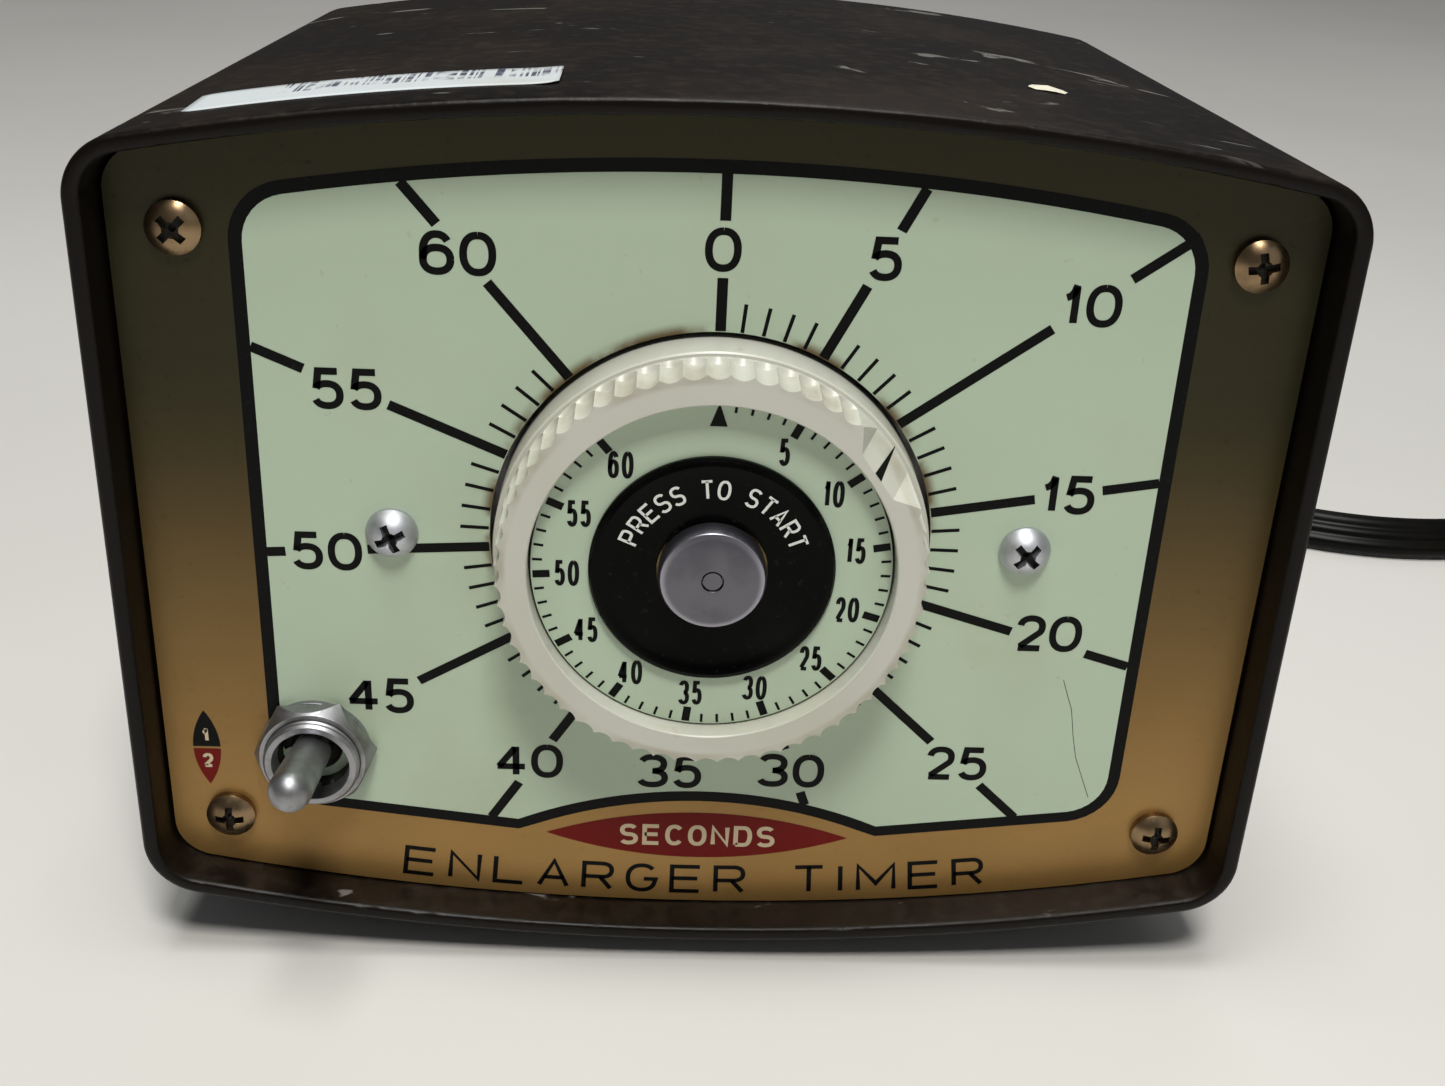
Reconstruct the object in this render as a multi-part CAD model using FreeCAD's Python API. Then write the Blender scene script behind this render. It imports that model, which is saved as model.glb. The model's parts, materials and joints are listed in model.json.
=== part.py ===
import FreeCAD, Part

import math
import os
from FreeCAD import Vector

# Darkroom enlarger timer: a moulded case with a recessed front panel, a white setting ring that sticks out
# of the panel, an elapsed-time dial inside the ring, a start button at its centre, a bat toggle switch, and
# a synchronous-motor clockwork behind. Two mains outlets and the lead are at the back.
#
# Every function below works in panel coordinates: X to the right, depth Y from the panel's front face into
# the case, Z up from the dial's centre. `save` moves the result into the part's own frame, whose origin is
# the middle of the object's footprint on the surface it stands on.

DIAL_HEIGHT = 60.0
PANEL_DEPTH = -37.8

# Case: outline half-widths and crowns at the front rim, and how much they shrink to the back.
RIM = -5.5
CASE_BACK = 94.0
CASE_HALF_WIDTH = 70.6
CASE_TOP = 53.8
CASE_BOTTOM = -56.3
CROWN_RADIUS = 340.0
CASE_CORNER = 7.5
SIDE_DRAFT = 0.085
CROWN_DRAFT = 0.033
WALL = 2.3
BACK_EDGE = 7.0
RIM_ROUND = 0.7

PANEL_THICK = 1.2
PANEL_GAP = 0.35
POST_X = 60.3
POST_TOP = 36.6
POST_BOTTOM = -41.0
POST_END = 34.0
MOVEMENT_SCREW_X = 38.1

# Where each screw's recess stopped, in degrees clockwise: corners from bottom left up, then bottom right up.
CORNER_SCREW_TURNS = (0, 45, 3, -10)
MOVEMENT_SCREW_TURNS = (-24, 45)

# Setting ring and the dial inside it.
RING_FRONT = -10.0
RING_BACK = 3.0
SKIRT_RADIUS = 25.75
SKIRT_FRONT = -4.6
FLUTED_RADIUS = 25.2
FLUTES = 60
FLUTES_SKIPPED = 2
FLUTE_CUT_RADIUS = 1.78
FLUTE_VALLEY = 24.52
RING_BORE = 21.4
RING_HOLE = 26.45
SET_SECONDS = 10.0
DEGREES_PER_SECOND = 16.0 / 3.0
JOURNAL = 6.0
ARBOR = 3.0
PUSH_ROD = 1.5
RUNNING = 0.05
DIAL_RADIUS = 21.1
DIAL_FACE = -7.5
BUTTON_RADIUS = 6.3

# Movement: two plates on pillars, and three gear axes.
FRONT_PLATE = 10.0
REAR_PLATE = 32.0
PLATE_THICK = 1.6
PILLAR_X = 36.0
PILLAR_Z = 18.0
MODULE = 0.8
WHEEL_TEETH = 36
PINION_TEETH = 12
AXIS_SPACING = MODULE * (WHEEL_TEETH + PINION_TEETH) / 2 + 0.05
SECOND_AXIS_ANGLE = -10.0
MOTOR_AXIS_ANGLE = -130.0
MOTOR_X = 4.0
MOTOR_Z = -27.0

# Toggle switch, hung on the panel.
TOGGLE_X = -48.85
TOGGLE_Z = -30.75
TOGGLE_PIVOT = 2.8
TOGGLE_TILT = 12.5
TOGGLE_REACH = 18.8
TOGGLE_FACE = -4.5
TOGGLE_NUT_SEAT = -0.8
TOGGLE_MOUTH = 4.85

# Outlets, feet and lead.
OUTLET_X = 27.0
OUTLET_Z = 8.0
FEET = [(-48.0, 17.0), (48.0, 17.0), (-44.0, 78.0), (44.0, 78.0)]
FOOT_SEAT = -53.6
LEAD_WIDTH = 8.0
LEAD_X = 4.0
LEAD_Z = -38.0
BOOT_END = 118.0

# The lead's route in the part's own frame, from the boot to the coil, and the coil it ends in.
ROUTE = [
    (4.0, 80.2, 22.0),
    (4.0, 98.2, 21.5),
    (13.4, 115.9, 18.0),
    (33.8, 128.6, 11.5),
    (57.7, 130.3, 6.0),
    (78.4, 122.8, 4.0),
    (95.8, 111.1, 4.0),
    (112.7, 97.0, 4.0),
    (132.8, 88.1, 4.0),
    (150.7, 86.2, 4.0),
    (168.4, 89.3, 4.0),
    (186.4, 89.3, 4.0),
]
COIL_X = 214.4
COIL_Y = 41.3
COIL_MID = 45.0
COIL_BAND = 14.0
COIL_HEIGHT = 16.0
COIL_LEAD_IN = 28.0
COIL_LEAD_OUT = 30.0


def save(name, shape):
    shape = shape.copy()
    shape.translate(Vector(0, PANEL_DEPTH, DIAL_HEIGHT))
    save_in_place(name, shape)


def save_in_place(name, shape):
    if not shape.isValid():
        print("INVALID", name)
    box = shape.BoundBox
    print(
        f"{name:24s} solids {len(shape.Solids):2d}  volume {shape.Volume:10.1f}"
        f"  x {box.XMin:7.2f} {box.XMax:7.2f}  y {box.YMin:7.2f} {box.YMax:7.2f}"
        f"  z {box.ZMin:7.2f} {box.ZMax:7.2f}"
    )
    shape.exportStep(f"parts/{name}.step")


def along_depth(radius, front, back, x=0.0, z=0.0):
    return Part.makeCylinder(radius, back - front, Vector(x, front, z), Vector(0, 1, 0))


def tube(outer, inner, front, back, x=0.0, z=0.0):
    return along_depth(outer, front, back, x, z).cut(along_depth(inner, front - 1, back + 1, x, z))


def turned(profile, x=0.0, z=0.0):
    """A solid turned about the depth axis through (x, z), from a closed list of (radius, depth)."""
    points = [Vector(x + radius, depth, z) for radius, depth in profile]
    face = Part.Face(Part.makePolygon(points + points[:1]))
    return face.revolve(Vector(x, 0, z), Vector(0, 1, 0), 360)


def block(x0, x1, y0, y1, z0, z1):
    return Part.makeBox(x1 - x0, y1 - y0, z1 - z0, Vector(x0, y0, z0))


def fuse_all(shapes):
    return shapes[0].multiFuse(shapes[1:]).removeSplitter() if len(shapes) > 1 else shapes[0]


def group(shapes):
    """Several identical pieces kept as separate solids in one node."""
    return Part.makeCompound(shapes)


def turn_about_depth(shape, degrees_clockwise):
    """Clockwise as seen from the front is the right-hand turn about +Y."""
    turned_shape = shape.copy()
    turned_shape.rotate(Vector(0, 0, 0), Vector(0, 1, 0), degrees_clockwise)
    return turned_shape


def crowned_outline(depth, half_width, top, bottom, corner):
    """Closed outline with straight sides, bowed top and bottom, and tangent corner arcs."""

    def corner_arc(crown, sign):
        centre_z = crown - sign * CROWN_RADIUS
        reach = CROWN_RADIUS - corner
        corner_x = half_width - corner
        corner_z = centre_z + sign * math.sqrt(reach ** 2 - corner_x ** 2)
        scale = CROWN_RADIUS / reach
        on_crown = Vector(corner_x * scale, depth, centre_z + (corner_z - centre_z) * scale)
        on_side = Vector(half_width, depth, corner_z)
        middle_dir = (on_crown + on_side) * 0.5 - Vector(corner_x, depth, corner_z)
        middle_dir.normalize()
        middle = Vector(corner_x, depth, corner_z) + middle_dir * corner
        return on_crown, middle, on_side

    def mirrored(point):
        return Vector(-point.x, point.y, point.z)

    top_crown, top_mid, top_side = corner_arc(top, 1)
    low_crown, low_mid, low_side = corner_arc(bottom, -1)
    edges = [
        Part.Arc(mirrored(top_crown), Vector(0, depth, top), top_crown).toShape(),
        Part.Arc(top_crown, top_mid, top_side).toShape(),
        Part.LineSegment(top_side, low_side).toShape(),
        Part.Arc(low_side, low_mid, low_crown).toShape(),
        Part.Arc(low_crown, Vector(0, depth, bottom), mirrored(low_crown)).toShape(),
        Part.Arc(mirrored(low_crown), mirrored(low_mid), mirrored(low_side)).toShape(),
        Part.LineSegment(mirrored(low_side), mirrored(top_side)).toShape(),
        Part.Arc(mirrored(top_side), mirrored(top_mid), mirrored(top_crown)).toShape(),
    ]
    return Part.Wire(edges)


def case_section(depth, inset, corner):
    run = depth - RIM
    return crowned_outline(
        depth,
        CASE_HALF_WIDTH - SIDE_DRAFT * run - inset,
        CASE_TOP - CROWN_DRAFT * run - inset,
        CASE_BOTTOM + CROWN_DRAFT * run + inset,
        corner,
    )


def drafted_body(front, back, inset, corner, back_edge):
    body = Part.makeLoft([case_section(front, inset, corner), case_section(back, inset, corner)], True, True)
    back_edges = [edge for edge in body.Edges if edge.BoundBox.YMin > back - 0.01]
    return body.makeFillet(back_edge, back_edges)


def rounded_plate(x0, x1, z0, z1, front, back, corner):
    plate = block(x0, x1, front, back, z0, z1)
    upright = [edge for edge in plate.Edges if edge.BoundBox.YLength > back - front - 0.01]
    return plate.makeFillet(corner, upright)


def cross_recess(x, z, front, reach, depth, turn):
    """Four-winged driver recess, narrowing inwards."""
    half = 0.26 * reach
    cutters = [
        block(x - reach, x + reach, front - 1, front + depth * 0.7, z - half, z + half),
        block(x - half, x + half, front - 1, front + depth * 0.7, z - reach, z + reach),
        Part.makeCone(reach * 0.55, 0.2, depth, Vector(x, front, z), Vector(0, 1, 0)),
    ]
    recess = fuse_all(cutters)
    recess.rotate(Vector(x, front, z), Vector(0, 1, 0), turn)
    return recess


def panel_screw(x, z, turn, head_radius, head_height, edge_height, shank_radius, shank_end):
    """Domed cross-recessed screw driven into the panel along the depth axis, stopped at its own turn."""
    front = -head_height
    rise = head_height - edge_height
    dome_radius = (head_radius ** 2 + rise ** 2) / (2 * rise)
    dome = Part.makeSphere(dome_radius, Vector(x, front + dome_radius, z))
    head = along_depth(head_radius, front, 0.0, x, z).common(dome)
    head = head.cut(cross_recess(x, z, front, head_radius * 0.58, head_height * 0.75, turn))
    return head.fuse(along_depth(shank_radius, 0.0, shank_end, x, z)).removeSplitter()


def hexagon_nut(across_flats, bore, front, back, x, z, turn=0.0):
    corner_radius = across_flats / math.sqrt(3)
    corners = []
    for index in range(6):
        angle = math.radians(60 * index + turn)
        corners.append(Vector(x + corner_radius * math.cos(angle), front, z + corner_radius * math.sin(angle)))
    prism = Part.Face(Part.makePolygon(corners + corners[:1])).extrude(Vector(0, back - front, 0))
    chamfer = Part.makeCone(
        across_flats / 2 * 0.97, across_flats / 2 * 0.97 + 4, 4 * 1.9, Vector(x, front, z), Vector(0, 1, 0)
    )
    return prism.common(chamfer).cut(along_depth(bore, front - 1, back + 1, x, z))


def gear(teeth, front, back, x, z, tooth_angle, bore, thinning=0.10):
    """Involute spur gear, 20 degree pressure angle, with one tooth centred on tooth_angle."""
    pitch = MODULE * teeth / 2
    base = pitch * math.cos(math.radians(20))
    tip = pitch + MODULE
    root = pitch - 1.25 * MODULE
    involute_at_pitch = math.tan(math.radians(20)) - math.radians(20)
    half_tooth = (math.pi * MODULE / 2 - thinning) / (2 * pitch)
    start = max(base, root)
    flank = []
    steps = 5
    for index in range(steps + 1):
        radius = start + (tip - start) * index / steps
        pressure = math.acos(min(1.0, base / radius))
        involute = math.tan(pressure) - pressure
        flank.append((radius, half_tooth + involute_at_pitch - involute))
    outline = []
    for tooth in range(teeth):
        centre = math.radians(tooth_angle) + 2 * math.pi * tooth / teeth
        outline.append((root, centre - flank[0][1]))
        outline += [(radius, centre - angle) for radius, angle in flank]
        outline += [(radius, centre + angle) for radius, angle in reversed(flank)]
        outline.append((root, centre + flank[0][1]))
    points = [Vector(x + r * math.cos(a), front, z + r * math.sin(a)) for r, a in outline]
    kept = [points[0]]
    for point in points[1:]:
        if (point - kept[-1]).Length > 1e-4:
            kept.append(point)
    body = Part.Face(Part.makePolygon(kept + kept[:1])).extrude(Vector(0, back - front, 0))
    return body.cut(along_depth(bore, front - 1, back + 1, x, z))


def polar(radius, degrees):
    return radius * math.cos(math.radians(degrees)), radius * math.sin(math.radians(degrees))


SECOND_X, SECOND_Z = polar(AXIS_SPACING, SECOND_AXIS_ANGLE)
MOTOR_OFFSET = polar(AXIS_SPACING, MOTOR_AXIS_ANGLE)
DRIVE_X = SECOND_X + MOTOR_OFFSET[0]
DRIVE_Z = SECOND_Z + MOTOR_OFFSET[1]


# ---- Case, panel and what fastens them -------------------------------------------------------------------

def post_centres():
    return [(x, z) for x in (-POST_X, POST_X) for z in (POST_BOTTOM, POST_TOP)]


def case_shell():
    outer = drafted_body(RIM, CASE_BACK, 0.0, CASE_CORNER, BACK_EDGE)
    inner = drafted_body(RIM - 1, CASE_BACK - WALL, WALL - 0.3, CASE_CORNER - WALL, BACK_EDGE - WALL)
    posts = []
    for x, z in post_centres():
        wall_side = math.copysign(CASE_HALF_WIDTH, x)
        rib = block(min(x, wall_side), max(x, wall_side), PANEL_THICK, POST_END, z - 1.3, z + 1.3)
        posts.append(along_depth(4.2, PANEL_THICK, POST_END, x, z).fuse(rib).common(outer))
    seats = []
    for x, y in FEET:
        seat = Part.makeCylinder(8.2, 10.0, Vector(x, y, FOOT_SEAT))
        seats.append(seat.cut(inner))
    shell = outer.cut(inner)
    rim_edges = [edge for edge in shell.Edges if edge.BoundBox.YMax < RIM + 0.01]
    shell = shell.makeFillet(RIM_ROUND, rim_edges)
    shell = shell.multiFuse(posts + seats).removeSplitter()
    for x, z in post_centres():
        shell = shell.cut(along_depth(1.62, 0.0, 16.0, x, z))
    for x, y in FEET:
        shell = shell.cut(Part.makeCylinder(1.52, 3.2, Vector(x, y, FOOT_SEAT)))
    for side in (-1, 1):
        x = side * OUTLET_X
        shell = shell.cut(rounded_plate(x - 16.2, x + 16.2, OUTLET_Z - 12.7, OUTLET_Z + 12.7, 85, 100, 3.0))
    return shell.cut(along_depth(7.0, 85, 100, LEAD_X, LEAD_Z))


def front_panel():
    inset = WALL - 0.3 + PANEL_GAP + 0.5
    outline = crowned_outline(
        0.0, CASE_HALF_WIDTH - inset, CASE_TOP - inset + 0.35, CASE_BOTTOM + inset - 0.35, CASE_CORNER - WALL
    )
    sheet = Part.Face(outline).extrude(Vector(0, PANEL_THICK, 0))
    holes = [along_depth(RING_HOLE, -1, 3), along_depth(6.15, -1, 3, TOGGLE_X, TOGGLE_Z)]
    holes += [along_depth(1.85, -1, 3, x, z) for x, z in post_centres()]
    holes += [along_depth(1.75, -1, 3, side * MOVEMENT_SCREW_X) for side in (-1, 1)]
    return sheet.cut(fuse_all(holes))


def corner_screws():
    screws = []
    for (x, z), turn in zip(post_centres(), CORNER_SCREW_TURNS):
        screws.append(panel_screw(x, z, turn, 3.1, 2.1, 0.9, 1.6, 13.0))
    return group(screws)


def movement_screws():
    ends = FRONT_PLATE + PLATE_THICK + 3.4
    screws = []
    for side, turn in zip((-1, 1), MOVEMENT_SCREW_TURNS):
        screws.append(panel_screw(side * MOVEMENT_SCREW_X, 0.0, turn, 3.15, 2.6, 0.5, 1.6, ends))
    return group(screws)


def panel_spacers():
    return group(
        [tube(3.2, 1.7, PANEL_THICK, FRONT_PLATE, side * MOVEMENT_SCREW_X, 0.0) for side in (-1, 1)]
    )


def movement_nuts():
    front = FRONT_PLATE + PLATE_THICK
    return group([hexagon_nut(5.5, 1.62, front, front + 2.4, s * MOVEMENT_SCREW_X, 0.0) for s in (-1, 1)])


def rubber_feet():
    feet = []
    for x, y in FEET:
        foot = Part.makeCone(6.3, 7.2, FOOT_SEAT + DIAL_HEIGHT, Vector(x, y, -DIAL_HEIGHT))
        foot = foot.cut(Part.makeCylinder(3.4, 3.0, Vector(x, y, -DIAL_HEIGHT)))
        feet.append(foot.cut(Part.makeCylinder(1.6, 20.0, Vector(x, y, -DIAL_HEIGHT))))
    return group(feet)


def foot_screws():
    screws = []
    for x, y in FEET:
        head = Part.makeCylinder(2.9, 1.7, Vector(x, y, -DIAL_HEIGHT + 1.3))
        shank = Part.makeCylinder(1.45, FOOT_SEAT + 2.9 + DIAL_HEIGHT - 3.0, Vector(x, y, -DIAL_HEIGHT + 3.0))
        slot = block(x - 3.5, x + 3.5, y - 0.4, y + 0.4, -DIAL_HEIGHT + 1.0, -DIAL_HEIGHT + 2.0)
        screws.append(head.cut(slot).fuse(shank).removeSplitter())
    return group(screws)


# ---- Setting ring, dial and start button -----------------------------------------------------------------

def set_ring():
    """White ring with a smooth skirt, fluted grip, hub on a web, and a notch for the pointer."""
    body = turned(
        [
            (JOURNAL + RUNNING, -3.0),
            (RING_BORE, -3.0),
            (RING_BORE, RING_FRONT + 0.15),
            (RING_BORE + 0.15, RING_FRONT),
            (FLUTED_RADIUS, RING_FRONT),
            (FLUTED_RADIUS, SKIRT_FRONT),
            (SKIRT_RADIUS - 0.2, SKIRT_FRONT),
            (SKIRT_RADIUS, SKIRT_FRONT + 0.2),
            (SKIRT_RADIUS, RING_BACK),
            (22.5, RING_BACK),
            (22.5, -1.0),
            (9.5, -1.0),
            (9.5, 4.0),
            (JOURNAL + RUNNING, 4.0),
        ]
    )
    cutter = flute()
    set_angle = SET_SECONDS * DEGREES_PER_SECOND
    kept = range(FLUTES_SKIPPED + 1, FLUTES - FLUTES_SKIPPED)
    flutes = [turn_about_depth(cutter, set_angle + 360.0 / FLUTES * index) for index in kept]
    return body.cut(flutes).cut(pointer_notch())


def flute():
    """Cutter for the flute above the dial's centre, with a short sloping end at the skirt."""
    axis = FLUTE_VALLEY + FLUTE_CUT_RADIUS
    end = SKIRT_FRONT - 0.7
    groove = along_depth(FLUTE_CUT_RADIUS, RING_FRONT - 1, end, 0.0, axis)
    slope = Part.makeCone(FLUTE_CUT_RADIUS, FLUTE_CUT_RADIUS - 0.7, 0.7, Vector(0, end, axis), Vector(0, 1, 0))
    return groove.fuse(slope)


def pointer_notch():
    """Sloping trapezoid trough across the ring's grip at the set time, its floor carrying the pointer."""
    inner = (22.46, RING_FRONT)
    outer = (25.5, SKIRT_FRONT - 0.1)
    slope = Vector(0, outer[1] - inner[1], outer[0] - inner[0])
    slope.normalize()
    outward = Vector(0, -slope.z, slope.y)
    start = Vector(0, inner[1], inner[0]) - slope * 4
    floor_half = 3.3
    height = 5.0
    flare = 1.63 * height
    corners = [
        start + Vector(-floor_half, 0, 0),
        start + Vector(floor_half, 0, 0),
        start + Vector(floor_half + flare, 0, 0) + outward * height,
        start + Vector(-floor_half - flare, 0, 0) + outward * height,
    ]
    trough = Part.Face(Part.makePolygon(corners + corners[:1])).extrude(slope * 12)
    return turn_about_depth(trough, SET_SECONDS * DEGREES_PER_SECOND)


def front_bushing():
    return turned(
        [
            (ARBOR + RUNNING, -4.4),
            (JOURNAL - 0.3, -4.4),
            (JOURNAL, -4.1),
            (JOURNAL, 8.8),
            (9.0, 8.8),
            (9.0, FRONT_PLATE),
            (JOURNAL, FRONT_PLATE),
            (JOURNAL, FRONT_PLATE + PLATE_THICK + 1.0),
            (ARBOR + RUNNING, FRONT_PLATE + PLATE_THICK + 1.0),
        ]
    )


def ring_clip():
    clip = tube(8.0, JOURNAL, -3.85, -3.15)
    return clip.cut(block(-2.6, 2.6, -5, 0, -9, -4))


def friction_washer():
    """Dished spring washer, gripping the bushing and bearing on the back of the ring's hub."""
    return turned([(JOURNAL, 8.2), (JOURNAL, 8.8), (6.9, 8.8), (9.3, 4.5), (9.3, 4.1), (8.5, 4.1)])


def elapsed_dial():
    return tube(DIAL_RADIUS, 7.2, DIAL_FACE, DIAL_FACE + 0.8)


def dial_hub():
    back = DIAL_FACE + 0.8
    return turned(
        [(7.2, back), (12.0, back), (12.0, back + 0.8), (8.4, back + 0.8), (8.4, -4.7), (ARBOR, -4.7),
         (ARBOR, -5.7), (7.2, -5.7)]
    )


def centre_cap():
    """Black dished ring around the button, with a raised rounded rim."""
    points = [(6.5, DIAL_FACE), (14.4, DIAL_FACE), (14.4, -8.0), (14.1, -8.45), (13.6, -8.65), (13.0, -8.5)]
    points += [(12.2, -8.15), (8.0, -8.0), (6.5, -8.0)]
    return turned(points)


def start_button():
    front = RING_FRONT - 0.7
    return turned(
        [
            (1.1, front + 0.6),
            (1.3, front + 0.6),
            (1.3, front),
            (BUTTON_RADIUS - 0.9, front),
            (BUTTON_RADIUS - 0.26, front + 0.26),
            (BUTTON_RADIUS, front + 0.9),
            (BUTTON_RADIUS, -7.9),
            (4.7, -7.9),
            (4.7, -9.3),
            (1.1, -9.3),
        ]
    )


def push_rod():
    return turned(
        [(0.0, RING_FRONT - 0.6), (1.1, RING_FRONT - 0.6), (1.1, -9.3), (PUSH_ROD, -9.3), (PUSH_ROD, 37.8),
         (0.8, 38.5), (0.0, 38.5)]
    )


def dial_arbor():
    return tube(ARBOR, PUSH_ROD + 0.07, -5.7, 36.0)


# ---- Movement --------------------------------------------------------------------------------------------

def pillar_centres():
    return [(x, z) for x in (-PILLAR_X, PILLAR_X) for z in (-PILLAR_Z, PILLAR_Z)]


def front_plate():
    back = FRONT_PLATE + PLATE_THICK
    plate = rounded_plate(-41.5, 41.5, -23.0, 23.0, FRONT_PLATE, back, 4.0)
    holes = [along_depth(JOURNAL, 5, 15), along_depth(PUSH_ROD + RUNNING, 5, 15, SECOND_X, SECOND_Z)]
    holes += [along_depth(1.7, 5, 15, s * MOVEMENT_SCREW_X) for s in (-1, 1)]
    holes += [along_depth(1.5, 5, 15, x, z) for x, z in pillar_centres()]
    return plate.cut(holes)


def rear_plate():
    back = REAR_PLATE + PLATE_THICK
    plate = rounded_plate(-40.0, 40.0, -47.0, 23.0, REAR_PLATE, back, 4.0)
    holes = [along_depth(5.0, 25, 40), along_depth(PUSH_ROD + RUNNING, 25, 40, SECOND_X, SECOND_Z)]
    holes += [along_depth(4.2, 25, 40, DRIVE_X, DRIVE_Z)]
    holes += [along_depth(1.5, 25, 40, x, z) for x, z in pillar_centres()]
    holes += [along_depth(1.6, 25, 40, MOTOR_X + s * 15.0, MOTOR_Z) for s in (-1, 1)]
    return plate.cut(holes)


def plate_pillars():
    front = FRONT_PLATE + PLATE_THICK
    pillars = []
    for x, z in pillar_centres():
        pillar = along_depth(2.8, front, REAR_PLATE, x, z)
        for hole_front in (front - 1, REAR_PLATE - 6):
            pillar = pillar.cut(along_depth(1.45, hole_front, hole_front + 7, x, z))
        pillars.append(pillar)
    return group(pillars)


def pillar_screws():
    screws = []
    back = REAR_PLATE + PLATE_THICK
    for x, z in pillar_centres():
        front_screw = turned(
            [(0, FRONT_PLATE - 1.5), (2.3, FRONT_PLATE - 1.5), (2.7, FRONT_PLATE - 1.0), (2.7, FRONT_PLATE),
             (1.4, FRONT_PLATE), (1.4, FRONT_PLATE + 6), (0, FRONT_PLATE + 6)],
            x, z,
        )
        rear_screw = turned(
            [(0, back + 1.5), (2.3, back + 1.5), (2.7, back + 1.0), (2.7, back), (1.4, back), (1.4, back - 6),
             (0, back - 6)],
            x, z,
        )
        slot_front = block(x - 3, x + 3, FRONT_PLATE - 2, FRONT_PLATE - 0.8, z - 0.35, z + 0.35)
        slot_rear = block(x - 3, x + 3, back + 0.8, back + 2, z - 0.35, z + 0.35)
        screws += [front_screw.cut(slot_front), rear_screw.cut(slot_rear)]
    return group(screws)


def rear_bushing():
    return turned(
        [(ARBOR + RUNNING, 30.6), (7.0, 30.6), (7.0, REAR_PLATE), (5.0, REAR_PLATE), (5.0, 35.0),
         (ARBOR + RUNNING, 35.0)]
    )


def drive_wheel():
    wheel = gear(WHEEL_TEETH, 14.5, 17.0, 0, 0, SECOND_AXIS_ANGLE, ARBOR)
    hub = tube(5.5, ARBOR, 12.9, 21.9)
    spokes = [along_depth(3.0, 10, 20, *polar(9.4, 45 + 90 * index)) for index in range(4)]
    return wheel.fuse(hub).cut(spokes).removeSplitter()


def second_wheel():
    phase = MOTOR_AXIS_ANGLE
    wheel = gear(WHEEL_TEETH, 24.0, 26.0, SECOND_X, SECOND_Z, phase, PUSH_ROD)
    hub = tube(4.0, PUSH_ROD, 22.4, 28.0, SECOND_X, SECOND_Z)
    return wheel.fuse(hub).removeSplitter()


def second_pinion():
    facing = SECOND_AXIS_ANGLE + 180 + 180 / PINION_TEETH
    return gear(PINION_TEETH, 14.0, 17.6, SECOND_X, SECOND_Z, facing, PUSH_ROD)


def second_arbor():
    return along_depth(PUSH_ROD, 9.8, 34.0, SECOND_X, SECOND_Z)


def motor_pinion():
    facing = MOTOR_AXIS_ANGLE + 180 + 180 / PINION_TEETH
    return gear(PINION_TEETH, 23.4, 26.6, DRIVE_X, DRIVE_Z, facing, PUSH_ROD)


def motor_shaft():
    return along_depth(PUSH_ROD, 22.4, 38.0, DRIVE_X, DRIVE_Z)


SPRING_START = 5.7
SPRING_STRIP = 0.35
SPRING_STEP = 0.7
SPRING_HALF_TURNS = 10
SPRING_TAIL = 7.0


def spiral_edge(offset):
    """Half-circle arcs whose centres alternate, so that the radius grows by one step each half turn."""
    edges = []
    for index in range(SPRING_HALF_TURNS):
        centre = SPRING_STEP * (index % 2)
        radius = SPRING_START + SPRING_STEP * index + offset
        side = 1 if index % 2 == 0 else -1
        start = Vector(centre + side * radius, 20.0, 0)
        middle = Vector(centre, 20.0, side * radius)
        end = Vector(centre - side * radius, 20.0, 0)
        edges.append(Part.Arc(start, middle, end).toShape())
    edges.append(Part.LineSegment(end, end + Vector(0, 0, SPRING_TAIL)).toShape())
    return edges, Vector(SPRING_START + offset, 20.0, 0), end + Vector(0, 0, SPRING_TAIL)


def reset_spring():
    """Spiral return spring around the dial's arbor, its outer end hooked through the cup's wall."""
    inner, inner_start, inner_end = spiral_edge(0.0)
    outer, outer_start, outer_end = spiral_edge(SPRING_STRIP)
    ends = [
        Part.LineSegment(inner_start, outer_start).toShape(),
        Part.LineSegment(inner_end, outer_end).toShape(),
    ]
    outline = Part.Wire(Part.__sortEdges__(inner + outer + ends))
    return Part.Face(outline).extrude(Vector(0, 2.0, 0))


def reset_spring_cup():
    """Shallow cup that holds the return spring, carried by two legs from the rear plate."""
    cup = tube(14.4, 13.4, 19.7, 23.0).fuse(tube(14.4, 4.4, 22.2, 23.0))
    legs = [along_depth(1.8, 23.0, REAR_PLATE, *polar(12.4, angle)) for angle in (110.0, 200.0)]
    tail = SPRING_START + SPRING_STEP * SPRING_HALF_TURNS
    slot = block(tail, tail + SPRING_STRIP, 20.0, 22.0, 0.0, 8.0)
    return cup.multiFuse(legs).cut(slot).removeSplitter()


def motor_gearbox():
    back = REAR_PLATE + PLATE_THICK
    box = along_depth(20.0, back, 41.0, MOTOR_X, MOTOR_Z)
    nose = along_depth(4.0, REAR_PLATE - 0.4, back + 1, DRIVE_X, DRIVE_Z)
    bore = along_depth(PUSH_ROD + RUNNING, 30, 38.2, DRIVE_X, DRIVE_Z)
    screws = [along_depth(1.5, 30, 38.4, MOTOR_X + s * 15.0, MOTOR_Z) for s in (-1, 1)]
    return box.fuse(nose).cut([bore] + screws).removeSplitter()


def motor_can():
    can = along_depth(19.0, 41.0, 58.0, MOTOR_X, MOTOR_Z)
    rear = [edge for edge in can.Edges if edge.BoundBox.YMin > 57.9]
    can = can.makeFillet(1.8, rear)
    return can.fuse(along_depth(4.0, 57.5, 59.5, MOTOR_X, MOTOR_Z)).removeSplitter()


def motor_screws():
    screws = []
    for side in (-1, 1):
        x = MOTOR_X + side * 15.0
        screws.append(
            turned(
                [(0, REAR_PLATE - 1.5), (2.3, REAR_PLATE - 1.5), (2.7, REAR_PLATE - 1.0), (2.7, REAR_PLATE),
                 (1.45, REAR_PLATE), (1.45, 38.0), (0, 38.0)],
                x, MOTOR_Z,
            )
        )
    return group(screws)


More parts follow.
